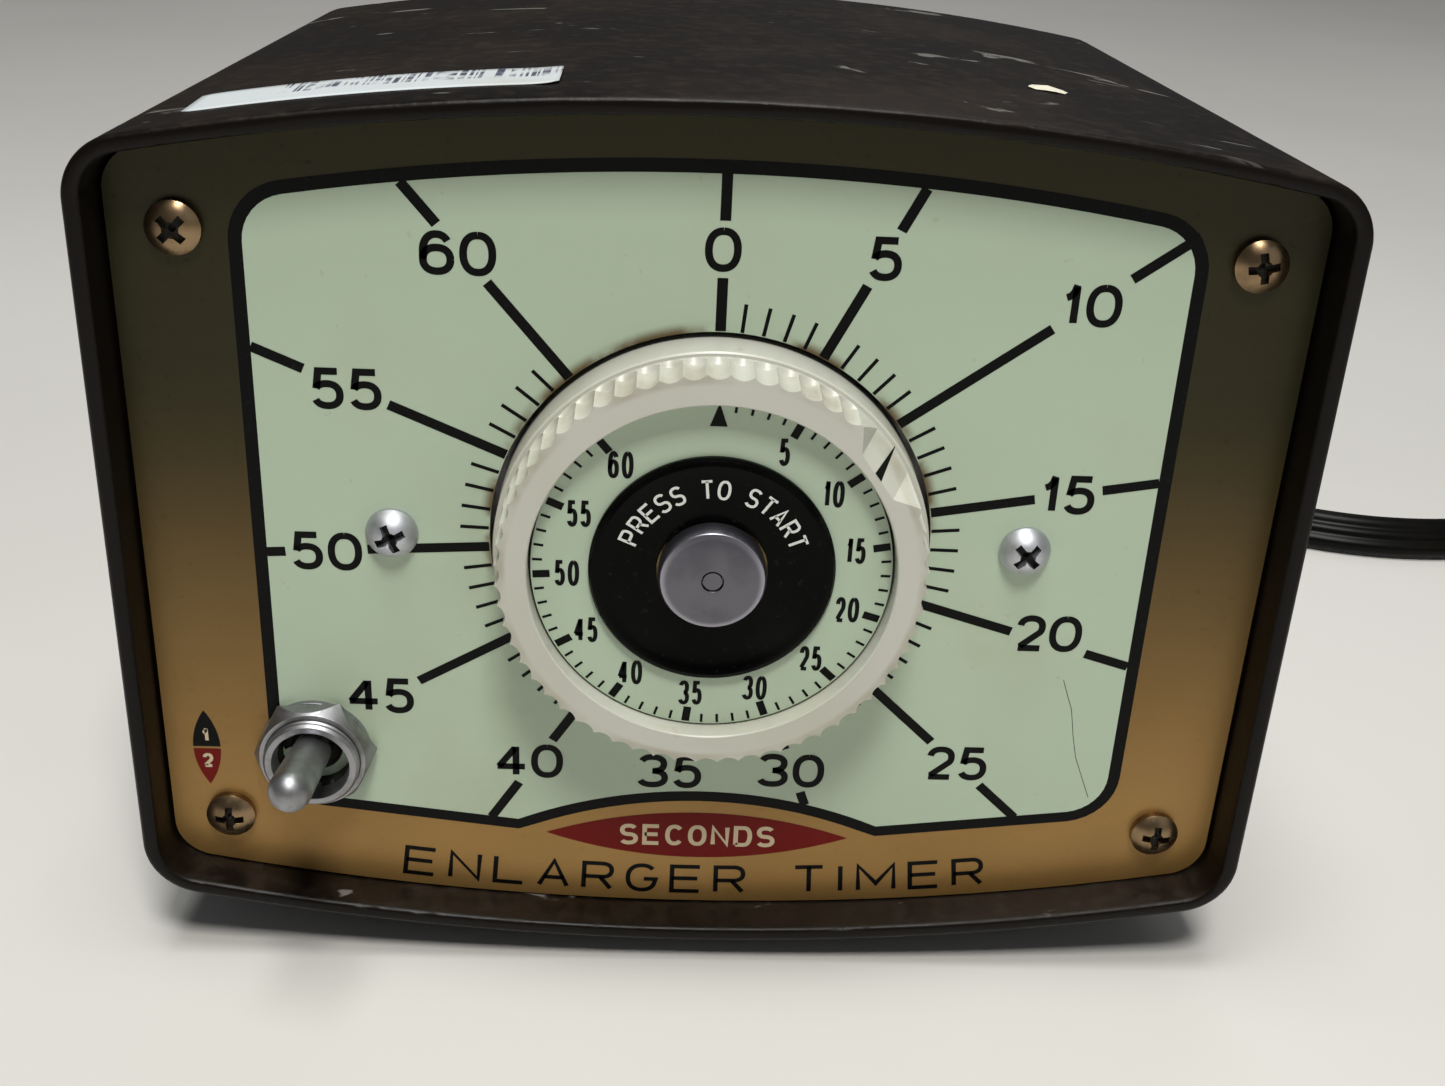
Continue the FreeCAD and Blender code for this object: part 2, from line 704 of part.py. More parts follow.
# ---- Trip lever and snap switch --------------------------------------------------------------------------

LEVER_PIVOT_Y = 42.5
LEVER_PIVOT_Z = 16.0
SWITCH_SCREW_Y = 38.6
SWITCH_SCREW_HEIGHTS = (25.0, 36.0)
PLUNGER_Z = 28.5


def extruded_in_x(outline, x0, x1):
    points = [Vector(x0, y, z) for y, z in outline]
    return Part.Face(Part.makePolygon(points + points[:1])).extrude(Vector(x1 - x0, 0, 0))


def along_width(radius, x0, x1, y, z):
    return Part.makeCylinder(radius, x1 - x0, Vector(x0, y, z), Vector(1, 0, 0))


def trip_lever():
    strip = extruded_in_x(
        [(38.8, -4.0), (40.1, -4.0), (40.1, 11.6), (46.3, 19.6), (46.3, 31.5), (45.0, 31.5), (45.0, 20.2),
         (38.8, 12.2)],
        -3.0, 3.0,
    )
    boss = along_width(2.5, -3.6, 3.6, LEVER_PIVOT_Y, LEVER_PIVOT_Z)
    lever = strip.fuse(boss)
    return lever.cut(along_width(1.2 + RUNNING, -5, 5, LEVER_PIVOT_Y, LEVER_PIVOT_Z)).removeSplitter()


def trip_pin():
    return along_width(1.2, -6.2, 6.2, LEVER_PIVOT_Y, LEVER_PIVOT_Z)


def switch_bracket():
    """Folded plate: two low ears hold the lever's pin, and two long wings hold the switch."""
    base = block(-5.4, 5.4, 33.6, 34.8, 9.0, 40.6)
    walls = []
    for left in (-5.4, 4.2):
        walls.append(block(left, left + 1.2, 34.0, 45.6, 12.4, 19.6))
        walls.append(block(left, left + 1.2, 34.0, 41.6, 21.4, 40.0))
    bracket = base.multiFuse(walls).removeSplitter()
    bracket = bracket.cut(along_width(1.2, -7, 7, LEVER_PIVOT_Y, LEVER_PIVOT_Z))
    return bracket.cut([along_width(1.1, -7, 7, SWITCH_SCREW_Y, z) for z in SWITCH_SCREW_HEIGHTS])


def snap_switch():
    body = block(-4.2, 4.2, 34.8, 43.0, 20.8, 40.4)
    cuts = [along_width(1.1, -7, 7, SWITCH_SCREW_Y, z) for z in SWITCH_SCREW_HEIGHTS]
    cuts.append(along_depth(1.3, 39.2, 44.0, 0.0, PLUNGER_Z))
    return body.cut(cuts)


def snap_plunger():
    return turned([(0, 40.9), (1.22, 40.9), (1.22, 43.9), (0.8, 44.6), (0, 44.6)], 0.0, PLUNGER_Z)


def snap_switch_screws():
    screws = []
    for z in SWITCH_SCREW_HEIGHTS:
        head = along_width(2.1, 5.4, 6.9, SWITCH_SCREW_Y, z)
        screws.append(head.fuse(along_width(1.05, -6.4, 5.4, SWITCH_SCREW_Y, z)).removeSplitter())
    return group(screws)


def snap_switch_terminals():
    return group([block(-1.6, 1.6, y - 0.3, y + 0.3, 40.4, 45.6) for y in (36.4, 39.0, 41.6)])


# ---- Toggle switch ---------------------------------------------------------------------------------------

def toggle_body():
    body = rounded_plate(TOGGLE_X - 6.5, TOGGLE_X + 6.5, TOGGLE_Z - 14.5, TOGGLE_Z + 14.5, 2.8, 20.0, 1.2)
    return body.cut(along_depth(5.0, 2.0, 13.5, TOGGLE_X, TOGGLE_Z))


def toggle_bushing():
    """Threaded neck and the saddle plate behind the panel that it is part of."""
    profile = [(TOGGLE_MOUTH, TOGGLE_FACE), (5.6, TOGGLE_FACE)]
    depth = TOGGLE_FACE + 0.4
    while depth < -0.6:
        profile += [(5.95, depth), (5.95, depth + 0.32), (5.7, depth + 0.5)]
        depth += 0.8
    profile += [(5.95, -0.1), (5.95, 1.8), (6.4, 1.8), (6.4, 2.8), (4.4, 2.8), (4.4, -1.5)]
    saddle = rounded_plate(TOGGLE_X - 6.5, TOGGLE_X + 6.5, TOGGLE_Z - 14.5, TOGGLE_Z + 14.5, 1.8, 2.8, 1.2)
    saddle = saddle.cut(along_depth(4.4, 1, 4, TOGGLE_X, TOGGLE_Z))
    return turned(profile, TOGGLE_X, TOGGLE_Z).fuse(saddle).removeSplitter()


def toggle_washers():
    """Washer between the nut and the panel, and lock washer behind the panel."""
    front = tube(6.95, 6.05, TOGGLE_NUT_SEAT, 0.0, TOGGLE_X, TOGGLE_Z)
    lock = tube(8.0, 6.05, PANEL_THICK, 1.8, TOGGLE_X, TOGGLE_Z)
    return group([front, lock])


def toggle_nut():
    return hexagon_nut(13.6, 6.0, TOGGLE_NUT_SEAT - 2.35, TOGGLE_NUT_SEAT, TOGGLE_X, TOGGLE_Z, 4.0)


def toggle_lever():
    """Bat lever on a ball, leaning up at rest."""
    reach = TOGGLE_REACH
    straight = [
        Part.makeSphere(4.32, Vector(0, 0, 0)),
        Part.makeCone(1.6, 1.1, 9.0, Vector(0, 0, 0), Vector(0, 1, 0)),
        Part.makeCone(2.25, 2.6, reach, Vector(0, 0, 0), Vector(0, -1, 0)),
        Part.makeSphere(2.6, Vector(0, -reach, 0)),
    ]
    lever = fuse_all(straight)
    lever.rotate(Vector(0, 0, 0), Vector(1, 0, 0), -TOGGLE_TILT)
    lever.translate(Vector(TOGGLE_X, TOGGLE_PIVOT, TOGGLE_Z))
    return lever


def toggle_terminals():
    tabs = []
    for offset in (-9.0, 0.0, 9.0):
        z = TOGGLE_Z + offset
        tab = block(TOGGLE_X - 2.4, TOGGLE_X + 2.4, 20.0, 27.5, z - 0.4, z + 0.4)
        tabs.append(tab.cut(Part.makeCylinder(0.9, 4, Vector(TOGGLE_X, 25.4, z - 2))))
    return group(tabs)


# ---- Outlets ---------------------------------------------------------------------------------------------

BLADE_HALF_SPACING = 6.35
EARTH_DROP = 11.9
BLADE_ROW = 4.2


def outlet_sites():
    """Three contact sites of one outlet: x offset, z offset, slot width, slot height."""
    return [
        (-BLADE_HALF_SPACING, BLADE_ROW, 2.0, 8.0),
        (BLADE_HALF_SPACING, BLADE_ROW, 2.0, 6.8),
        (0.0, BLADE_ROW - EARTH_DROP, 5.0, 5.0),
    ]


def outlet(side):
    x = side * OUTLET_X
    z = OUTLET_Z
    body = rounded_plate(x - 16.0, x + 16.0, z - 12.5, z + 12.5, 66.0, CASE_BACK, 2.8)
    flange = rounded_plate(x - 18.0, x + 18.0, z - 14.5, z + 14.5, CASE_BACK, CASE_BACK + 1.6, 4.0)
    outlet_body = body.fuse(flange).removeSplitter()
    for dx, dz, width, height in outlet_sites():
        if width > 3:
            way_in = along_depth(width / 2, 80, 100, x + dx, z + dz)
        else:
            way_in = block(x + dx - width / 2, x + dx + width / 2, 80, 100, z + dz - height / 2, z + dz + height / 2)
        pocket = block(x + dx - 2.6, x + dx + 2.6, 76.0, 91.0, z + dz - 4.2, z + dz + 4.2)
        tail = block(x + dx - 0.45, x + dx + 0.45, 60, 78, z + dz - 2.45, z + dz + 2.45)
        outlet_body = outlet_body.cut([way_in, pocket, tail])
    return outlet_body


def outlet_contacts():
    contacts = []
    for side in (-1, 1):
        for dx, dz, width, height in outlet_sites():
            x = side * OUTLET_X + dx
            z = OUTLET_Z + dz
            clip = block(x - 2.5, x + 2.5, 76.0, 88.0, z - 3.6, z + 3.6)
            clip = clip.cut(block(x - 1.6, x + 1.6, 76.8, 90.0, z - 5, z + 5))
            tail = block(x - 0.4, x + 0.4, 62.0, 76.4, z - 2.4, z + 2.4)
            contacts.append(clip.fuse(tail).removeSplitter())
    return group(contacts)


# ---- Lead ------------------------------------------------------------------------------------------------

def strain_relief():
    return turned(
        [(0, 88.0), (6.2, 88.0), (6.9, 89.5), (6.9, CASE_BACK), (8.6, CASE_BACK), (8.6, 95.6), (8.0, 96.2),
         (6.6, 96.2), (4.9, BOOT_END), (0, BOOT_END)],
        LEAD_X, LEAD_Z,
    )


def rounded_path(points):
    """Straight runs joined by tangent arcs, each as large as its two runs allow."""
    edges = []
    last = points[0]
    radii = []
    for index in range(1, len(points) - 1):
        before = points[index] - points[index - 1]
        after = points[index + 1] - points[index]
        setback = 0.45 * min(before.Length, after.Length)
        turn = before.getAngle(after)
        radii.append(setback / math.tan(turn / 2))
        unit_in = Vector(before).normalize()
        unit_out = Vector(after).normalize()
        arc_start = points[index] - unit_in * setback
        arc_end = points[index] + unit_out * setback
        bisector = (unit_out - unit_in).normalize()
        centre = points[index] + bisector * (radii[-1] / math.cos(turn / 2))
        middle = centre - bisector * radii[-1]
        edges.append(Part.LineSegment(last, arc_start).toShape())
        edges.append(Part.Arc(arc_start, middle, arc_end).toShape())
        last = arc_end
    edges.append(Part.LineSegment(last, points[-1]).toShape())
    print("lead radii", [round(radius) for radius in radii])
    return Part.Wire(edges)


def power_cord():
    points = [Vector(*point) for point in ROUTE]
    path = rounded_path(points)
    start = points[1] - points[0]
    section = Part.Wire(Part.makeCircle(LEAD_WIDTH / 2, points[0], start))
    lead = path.makePipeShell([section], True, True)
    expected = math.pi * (LEAD_WIDTH / 2) ** 2 * path.Length
    print(f"lead tube length {path.Length:.1f}, volume {lead.Volume:.1f} of {expected:.1f}")
    return lead


def power_cord_coil():
    """Outer shape of the wound lead, with the straight ends that enter and leave it."""
    inner = COIL_MID - COIL_BAND / 2
    outer = COIL_MID + COIL_BAND / 2
    centre = Vector(COIL_X, COIL_Y, 0)
    ring = Part.makeCylinder(outer, COIL_HEIGHT, centre).cut(Part.makeCylinder(inner, COIL_HEIGHT, centre))
    edges = [edge for edge in ring.Edges if edge.BoundBox.ZLength < 0.01]
    ring = ring.makeFillet(3.0, edges)
    turn_radius = outer - LEAD_WIDTH / 2
    lead_in = Part.makeCylinder(
        LEAD_WIDTH / 2, COIL_LEAD_IN, Vector(COIL_X - COIL_LEAD_IN, COIL_Y + turn_radius, LEAD_WIDTH / 2),
        Vector(1, 0, 0),
    )
    lead_out = Part.makeCylinder(
        LEAD_WIDTH / 2, COIL_LEAD_OUT, Vector(COIL_X + turn_radius, COIL_Y, COIL_HEIGHT - LEAD_WIDTH / 2),
        Vector(0, -1, 0),
    )
    return ring.fuse(lead_in).fuse(lead_out).removeSplitter()


def plug_place():
    turn_radius = COIL_MID + COIL_BAND / 2 - LEAD_WIDTH / 2
    return COIL_X + turn_radius, COIL_Y - COIL_LEAD_OUT, COIL_HEIGHT - LEAD_WIDTH / 2


def plug_body():
    """Moulded grounded plug: a tapered neck and a body that rests on the surface, pins towards -Y."""
    x, y, z = plug_place()
    neck = Part.makeCone(4.8, 7.4, 18.0, Vector(x, y, z), Vector(0, -1, 0))
    body = Part.makeBox(27.0, 24.0, 24.0, Vector(x - 13.5, y - 40.0, 0.0))
    body = body.makeFillet(3.5, [edge for edge in body.Edges if edge.BoundBox.YLength > 23.0])
    back = [edge for edge in body.Edges if edge.BoundBox.YMin > y - 16.1]
    body = body.makeFillet(2.0, back)
    return neck.fuse(body).removeSplitter()


def plug_pins():
    x, y, z = plug_place()
    face = y - 40.0
    blades = [Part.makeBox(1.5, 16.0, 6.35, Vector(x + s * 6.35 - 0.75, face - 16.0, z - 8.5)) for s in (-1, 1)]
    earth = Part.makeCylinder(2.4, 19.0, Vector(x, face, z - 5.3 + 11.9), Vector(0, -1, 0))
    tip = Part.makeSphere(2.4, Vector(x, face - 19.0, z - 5.3 + 11.9))
    return group(blades + [earth.fuse(tip).removeSplitter()])


def main():
    os.makedirs("parts", exist_ok=True)
    in_panel_frame = {
        "case_shell": case_shell(),
        "front_panel": front_panel(),
        "corner_screws": corner_screws(),
        "movement_screws": movement_screws(),
        "panel_spacers": panel_spacers(),
        "movement_nuts": movement_nuts(),
        "rubber_feet": rubber_feet(),
        "foot_screws": foot_screws(),
        "set_ring": set_ring(),
        "front_bushing": front_bushing(),
        "ring_clip": ring_clip(),
        "friction_washer": friction_washer(),
        "elapsed_dial": elapsed_dial(),
        "dial_hub": dial_hub(),
        "centre_cap": centre_cap(),
        "start_button": start_button(),
        "push_rod": push_rod(),
        "dial_arbor": dial_arbor(),
        "front_plate": front_plate(),
        "rear_plate": rear_plate(),
        "plate_pillars": plate_pillars(),
        "pillar_screws": pillar_screws(),
        "rear_bushing": rear_bushing(),
        "drive_wheel": drive_wheel(),
        "second_wheel": second_wheel(),
        "second_pinion": second_pinion(),
        "second_arbor": second_arbor(),
        "motor_pinion": motor_pinion(),
        "motor_shaft": motor_shaft(),
        "reset_spring": reset_spring(),
        "reset_spring_cup": reset_spring_cup(),
        "motor_gearbox": motor_gearbox(),
        "motor_can": motor_can(),
        "motor_screws": motor_screws(),
        "trip_lever": trip_lever(),
        "trip_pin": trip_pin(),
        "switch_bracket": switch_bracket(),
        "snap_switch": snap_switch(),
        "snap_plunger": snap_plunger(),
        "snap_switch_screws": snap_switch_screws(),
        "snap_switch_terminals": snap_switch_terminals(),
        "toggle_body": toggle_body(),
        "toggle_bushing": toggle_bushing(),
        "toggle_washers": toggle_washers(),
        "toggle_nut": toggle_nut(),
        "toggle_lever": toggle_lever(),
        "toggle_terminals": toggle_terminals(),
        "enlarger_outlet": outlet(-1),
        "safelight_outlet": outlet(1),
        "outlet_contacts": outlet_contacts(),
        "strain_relief": strain_relief(),
    }
    for name, shape in in_panel_frame.items():
        save(name, shape)
    save_in_place("power_cord", power_cord())
    save_in_place("power_cord_coil", power_cord_coil())
    save_in_place("plug_body", plug_body())
    save_in_place("plug_pins", plug_pins())


main()
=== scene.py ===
import json
import math
import random

import bmesh
import bpy
from mathutils import Matrix, Vector


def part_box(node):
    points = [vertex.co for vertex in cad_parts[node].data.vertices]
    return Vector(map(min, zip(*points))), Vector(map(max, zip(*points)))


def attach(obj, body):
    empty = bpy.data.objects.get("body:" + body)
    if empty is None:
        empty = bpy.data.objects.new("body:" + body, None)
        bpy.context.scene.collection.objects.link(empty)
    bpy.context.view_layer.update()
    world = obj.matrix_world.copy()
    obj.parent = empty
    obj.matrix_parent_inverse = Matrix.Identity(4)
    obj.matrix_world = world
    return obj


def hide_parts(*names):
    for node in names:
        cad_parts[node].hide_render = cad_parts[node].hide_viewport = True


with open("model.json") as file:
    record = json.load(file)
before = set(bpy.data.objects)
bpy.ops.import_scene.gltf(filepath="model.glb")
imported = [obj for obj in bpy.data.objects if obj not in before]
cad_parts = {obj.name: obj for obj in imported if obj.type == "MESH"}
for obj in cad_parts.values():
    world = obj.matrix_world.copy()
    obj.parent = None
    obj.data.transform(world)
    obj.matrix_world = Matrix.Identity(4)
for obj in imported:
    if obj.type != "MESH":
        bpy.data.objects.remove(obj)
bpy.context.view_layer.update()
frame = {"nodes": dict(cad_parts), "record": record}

MM = 0.001

# The printed face is laid out in millimetres about the dial's centre: x right, z up, lift off the panel.
DIAL_Z = sum(corner[2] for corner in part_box("elapsed_dial")) / 2
PANEL_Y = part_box("front_panel")[0][1]
UPRIGHT = Matrix.Rotation(math.radians(90), 4, "X")
PANEL = Matrix.Translation((0, PANEL_Y, DIAL_Z)) @ UPRIGHT @ Matrix.Scale(MM, 4)

# Camera: metres, degrees and millimetres.
CAMERA_PLACE = (-0.00735, -0.22262, 0.15098)
CAMERA_HEADING = 2.716
CAMERA_DROP = 26.24
CAMERA_ROLL = 2.84
CAMERA_LENS = 42.65
SENSOR_WIDTH = 36.0

# Seconds scale, and the hole in the panel that the ring turns in.
DEGREES_PER_SECOND = 16 / 3
LAST_SECOND = 60
SET_SECOND = 10
PANEL_HOLE = 26.5

# Lift of each coat of print: border and badge, face, words on the badge, hairline, scale.
BORDER_LIFT = 0.03
FACE_LIFT = 0.045
WORD_LIFT = 0.05
HAIRLINE_LIFT = 0.055
SCALE_LIFT = 0.07

# The lead's route, the same points as its tube, then the coil that its unseen length is wound in.
ROUTE = [
    (0.0040, 0.0802, 0.0220),
    (0.0040, 0.0982, 0.0215),
    (0.0134, 0.1159, 0.0180),
    (0.0338, 0.1286, 0.0115),
    (0.0577, 0.1303, 0.0060),
    (0.0784, 0.1228, 0.0040),
    (0.0958, 0.1111, 0.0040),
    (0.1127, 0.0970, 0.0040),
    (0.1328, 0.0881, 0.0040),
    (0.1507, 0.0862, 0.0040),
    (0.1684, 0.0893, 0.0040),
    (0.1864, 0.0893, 0.0040),
    (0.2060, 0.0903, 0.0040),
]
LEAD_WIDTH = 0.0080
LEAD_LOBE = 0.00172
COIL_X = 0.2144
COIL_Y = 0.0413
COIL_TURNS = 5.25
COIL_OUTER = 0.0497
COIL_TIGHTEN = 0.0040
COIL_LOW = 0.0040
COIL_HIGH = 0.0120
# The spline cuts inside its points, so the coil's points stand this much further out.
COIL_CUT_IN = 1.008
# From the coil's last turn to the plug's neck, as (x, y).
COIL_TAIL = [(0.2632, 0.0313), (0.2626, 0.0213), (0.2624, 0.0113)]

# Where it is seen, the flat lead leans back from upright, between these two places in x.
LEAN_DEGREES = 38
LEAN_START = 0.050
LEAN_START_LENGTH = 0.050
LEAN_END = 0.205
LEAN_END_LENGTH = 0.030
LEAN_BEHIND_Y = 0.08


# ---- Node helpers ----

def new_material(name, color, roughness, metallic=0.0, **sockets):
    material = bpy.data.materials.new(name)
    material.use_nodes = True
    shader = material.node_tree.nodes["Principled BSDF"]
    shader.inputs["Base Color"].default_value = (*color, 1)
    shader.inputs["Roughness"].default_value = roughness
    shader.inputs["Metallic"].default_value = metallic
    for socket, value in sockets.items():
        shader.inputs[socket.replace("_", " ")].default_value = value
    return material, material.node_tree, shader


def object_coordinates(tree, stretch=(1, 1, 1), turn=(0, 0, 0)):
    source = tree.nodes.new("ShaderNodeTexCoord")
    mapping = tree.nodes.new("ShaderNodeMapping")
    mapping.inputs["Scale"].default_value = stretch
    mapping.inputs["Rotation"].default_value = turn
    tree.links.new(source.outputs["Object"], mapping.inputs["Vector"])
    return mapping.outputs["Vector"]


def noise(tree, scale, detail=3.0, stretch=(1, 1, 1), turn=(0, 0, 0), distortion=0.0):
    node = tree.nodes.new("ShaderNodeTexNoise")
    node.inputs["Scale"].default_value = scale
    node.inputs["Detail"].default_value = detail
    node.inputs["Distortion"].default_value = distortion
    tree.links.new(object_coordinates(tree, stretch, turn), node.inputs["Vector"])
    return node.outputs["Fac"]


def ramp(tree, value, low, high):
    """0 below low, 1 above high, smooth between; low above high turns it round."""
    node = tree.nodes.new("ShaderNodeMapRange")
    node.interpolation_type = "SMOOTHSTEP"
    node.inputs["From Min"].default_value = min(low, high)
    node.inputs["From Max"].default_value = max(low, high)
    node.inputs["To Min"].default_value = 0.0 if low < high else 1.0
    node.inputs["To Max"].default_value = 1.0 if low < high else 0.0
    tree.links.new(value, node.inputs["Value"])
    return node.outputs["Result"]


def patches(tree, scale, detail, low, high):
    """Noise turned into patches with soft edges, as ramp does it."""
    return ramp(tree, noise(tree, scale, detail), low, high)


def math_node(tree, operation, first, second):
    node = tree.nodes.new("ShaderNodeMath")
    node.operation = operation
    for socket, value in zip(node.inputs, (first, second)):
        if isinstance(value, (int, float)):
            socket.default_value = value
        else:
            tree.links.new(value, socket)
    return node.outputs["Value"]


def times(tree, first, second):
    return math_node(tree, "MULTIPLY", first, second)


def mix_color(tree, amount, first, second):
    node = tree.nodes.new("ShaderNodeMix")
    node.data_type = "RGBA"
    tree.links.new(amount, node.inputs["Factor"])
    for socket, value in zip((node.inputs[6], node.inputs[7]), (first, second)):
        if isinstance(value, tuple):
            socket.default_value = (*value, 1)
        else:
            tree.links.new(value, socket)
    return node.outputs[2]


def mix_value(tree, amount, first, second):
    node = tree.nodes.new("ShaderNodeMapRange")
    node.inputs["To Min"].default_value = first
    node.inputs["To Max"].default_value = second
    tree.links.new(amount, node.inputs["Value"])
    return node.outputs["Result"]


def add_bump(tree, shader, height, strength, distance):
    node = tree.nodes.new("ShaderNodeBump")
    node.inputs["Strength"].default_value = strength
    node.inputs["Distance"].default_value = distance
    tree.links.new(height, node.inputs["Height"])
    previous = shader.inputs["Normal"].links
    if previous:
        tree.links.new(previous[0].from_socket, node.inputs["Normal"])
    tree.links.new(node.outputs["Normal"], shader.inputs["Normal"])


def set_color(tree, shader, value):
    tree.links.new(value, shader.inputs["Base Color"])


def set_roughness(tree, shader, value):
    tree.links.new(value, shader.inputs["Roughness"])


def split_axes(tree, vector):
    """The X, Y and Z of a vector, by name."""
    split = tree.nodes.new("ShaderNodeSeparateXYZ")
    tree.links.new(vector, split.inputs["Vector"])
    return split.outputs


def upward(tree):
    """How much the surface faces up, from the surface normal."""
    geometry = tree.nodes.new("ShaderNodeNewGeometry")
    return split_axes(tree, geometry.outputs["Normal"])["Z"]


def distance_from_dial_axis(tree):
    """Distance from the dial's axis, in metres."""
    place = split_axes(tree, object_coordinates(tree))
    across = math_node(tree, "POWER", place["X"], 2)
    height = math_node(tree, "SUBTRACT", place["Z"], DIAL_Z)
    rise = math_node(tree, "POWER", height, 2)
    return math_node(tree, "SQRT", math_node(tree, "ADD", across, rise), 0.5)


# ---- Materials ----

def case_material():
    """Dark brown moulded plastic with dust, rubbed patches and pale scuffs where it faces up; the lighter
    dust colour on upward faces is also a painted sheen.
    """
    brown = (0.0045, 0.0028, 0.0020)
    dust_color = (0.026, 0.018, 0.013)
    scuff_color = (0.26, 0.25, 0.23)
    material, tree, shader = new_material("case_plastic", brown, 0.40, Specular_IOR_Level=0.16)
    cloud = patches(tree, 28, 5, 0.40, 0.68)
    fine = patches(tree, 420, 3, 0.45, 0.72)
    # Faces that point up take the lighter dust colour: real dust, and also a painted sheen.
    top = ramp(tree, upward(tree), 0.35, 0.95)
    dust = times(tree, math_node(tree, "ADD", cloud, fine), top)
    dust_and_sheen = mix_color(tree, times(tree, dust, 0.42), brown, dust_color)
    streak = ramp(tree, noise(tree, 60, 8, (1, 2.6, 1), (0, 0, 0.5), 1.5), 0.655, 0.70)
    streak = times(tree, streak, times(tree, top, 0.55))
    set_color(tree, shader, mix_color(tree, streak, dust_and_sheen, scuff_color))
    set_roughness(tree, shader, mix_value(tree, times(tree, dust, 0.5), 0.34, 0.64))
    add_bump(tree, shader, noise(tree, 1500, 2), 0.10, 0.0002)
    add_bump(tree, shader, noise(tree, 40, 2), 0.06, 0.001)
    return material


def panel_material():
    """Satin anodised sheet, gold low down and darkening to deep olive higher up as painted shade and dark
    reflection, with fine grain and faint blotches.
    """
    gold = (0.370, 0.212, 0.066)
    worn_gold = (0.320, 0.180, 0.052)
    painted_shade_olive = (0.026, 0.023, 0.006)
    material, tree, shader = new_material("gold_panel", gold, 0.36, 0.55)
    grain = noise(tree, 900, 2, (0.05, 1, 1))
    blotch = patches(tree, 35, 4, 0.35, 0.70)
    bright = mix_color(tree, blotch, gold, worn_gold)
    height = split_axes(tree, object_coordinates(tree))["Z"]
    # Painted shade: the colour turns from gold to olive towards the top of the panel.
    set_color(tree, shader, mix_color(tree, ramp(tree, height, 0.008, 0.082), bright, painted_shade_olive))
    speck = patches(tree, 1300, 2, 0.62, 0.74)
    rough = math_node(tree, "ADD", times(tree, grain, 0.14), 0.30)
    set_roughness(tree, shader, math_node(tree, "ADD", rough, times(tree, speck, 0.25)))
    add_bump(tree, shader, grain, 0.05, 0.0001)
    return material


def enamel_material(name, color, stain, roughness=0.34):
    """Printed or painted coat: an even colour with age blotches, specks and grime round the ring's hole."""
    grime_color = (0.12, 0.075, 0.025)
    material, tree, shader = new_material(name, color, roughness)
    blotch = patches(tree, 45, 5, 0.52, 0.80)
    aged = mix_color(tree, times(tree, blotch, 0.40), color, stain)
    speck = patches(tree, 620, 2, 0.735, 0.775)
    speckled = mix_color(tree, times(tree, speck, 0.5), aged, stain)
    hole_edge = ramp(tree, distance_from_dial_axis(tree), 0.0280, 0.0265)
    grime = times(tree, hole_edge, patches(tree, 150, 4, 0.42, 0.62))
    grime = times(tree, grime, ramp(tree, distance_from_dial_axis(tree), 0.0235, 0.0245))
    set_color(tree, shader, mix_color(tree, grime, speckled, grime_color))
    set_roughness(tree, shader, mix_value(tree, blotch, roughness, roughness + 0.12))
    add_bump(tree, shader, noise(tree, 700, 2), 0.05, 0.0001)
    return material


def ivory_material():
    """Moulded ivory plastic, with grime in the flutes and the odd brown stain."""
    ivory = (0.58, 0.58, 0.52)
    yellowed = (0.53, 0.52, 0.44)
    grime_color = (0.27, 0.22, 0.13)
    stain_color = (0.42, 0.24, 0.09)
    material, tree, shader = new_material("ivory_plastic", ivory, 0.33)
    shader.inputs["Subsurface Weight"].default_value = 0.08
    shader.inputs["Subsurface Radius"].default_value = (0.002, 0.0015, 0.001)
    radius = distance_from_dial_axis(tree)
    below_crests = ramp(tree, radius, 0.02522, 0.02478)
    beyond_face = ramp(tree, radius, 0.0236, 0.0243)
    valley = times(tree, below_crests, beyond_face)
    dirt_and_shade = times(tree, valley, patches(tree, 130, 4, 0.35, 0.75))
    clean = mix_color(tree, patches(tree, 30, 3, 0.3, 0.7), ivory, yellowed)
    grimy = mix_color(tree, times(tree, dirt_and_shade, 0.55), clean, grime_color)
    stain = ramp(tree, noise(tree, 95, 5, (1, 1, 1), (0.4, 0, 0.3)), 0.685, 0.76)
    set_color(tree, shader, mix_color(tree, times(tree, stain, 0.5), grimy, stain_color))
    set_roughness(tree, shader, mix_value(tree, noise(tree, 200, 3), 0.26, 0.44))
    add_bump(tree, shader, noise(tree, 1200, 2), 0.07, 0.0001)
    return material


def metal_material(name, color, roughness, tarnish, spots):
    """Metal with uneven polish, tarnish in patches and fine handling marks."""
    material, tree, shader = new_material(name, color, roughness, 1.0)
    patch = patches(tree, 260, 5, 0.42, 0.75)
    set_color(tree, shader, mix_color(tree, times(tree, patch, spots), color, tarnish))
    fine = noise(tree, 1400, 3)
    worn = math_node(tree, "ADD", times(tree, fine, 0.16), roughness - 0.05)
    set_roughness(tree, shader, math_node(tree, "ADD", worn, times(tree, patch, 0.12)))
    add_bump(tree, shader, fine, 0.12, 0.00006)
    return material


def turned_material(name, color, roughness):
    """Metal faced on a lathe: fine rings about the dial's axis, and an edge rubbed bright that is also a
    painted highlight.
    """
    material, tree, shader = new_material(name, color, roughness, 1.0)
    radius = distance_from_dial_axis(tree)
    rings = tree.nodes.new("ShaderNodeTexNoise")
    rings.noise_dimensions = "1D"
    rings.inputs["Scale"].default_value = 9000
    tree.links.new(radius, rings.inputs["W"])
    patch = patches(tree, 240, 4, 0.45, 0.75)
    faced = mix_color(tree, patch, color, tuple(channel * 0.78 for channel in color))
    # Painted highlight: the edge ring's colour is 2.4 times lighter, standing for worn bright metal and its
    # highlight together.
    rubbed_edge_and_highlight = ramp(tree, radius, 0.0052, 0.0060)
    set_color(tree, shader, mix_color(tree, rubbed_edge_and_highlight, faced, tuple(channel * 2.4 for channel in color)))
    set_roughness(tree, shader, mix_value(tree, rings.outputs["Fac"], roughness - 0.08, roughness + 0.10))
    add_bump(tree, shader, rings.outputs["Fac"], 0.18, 0.00004)
    return material


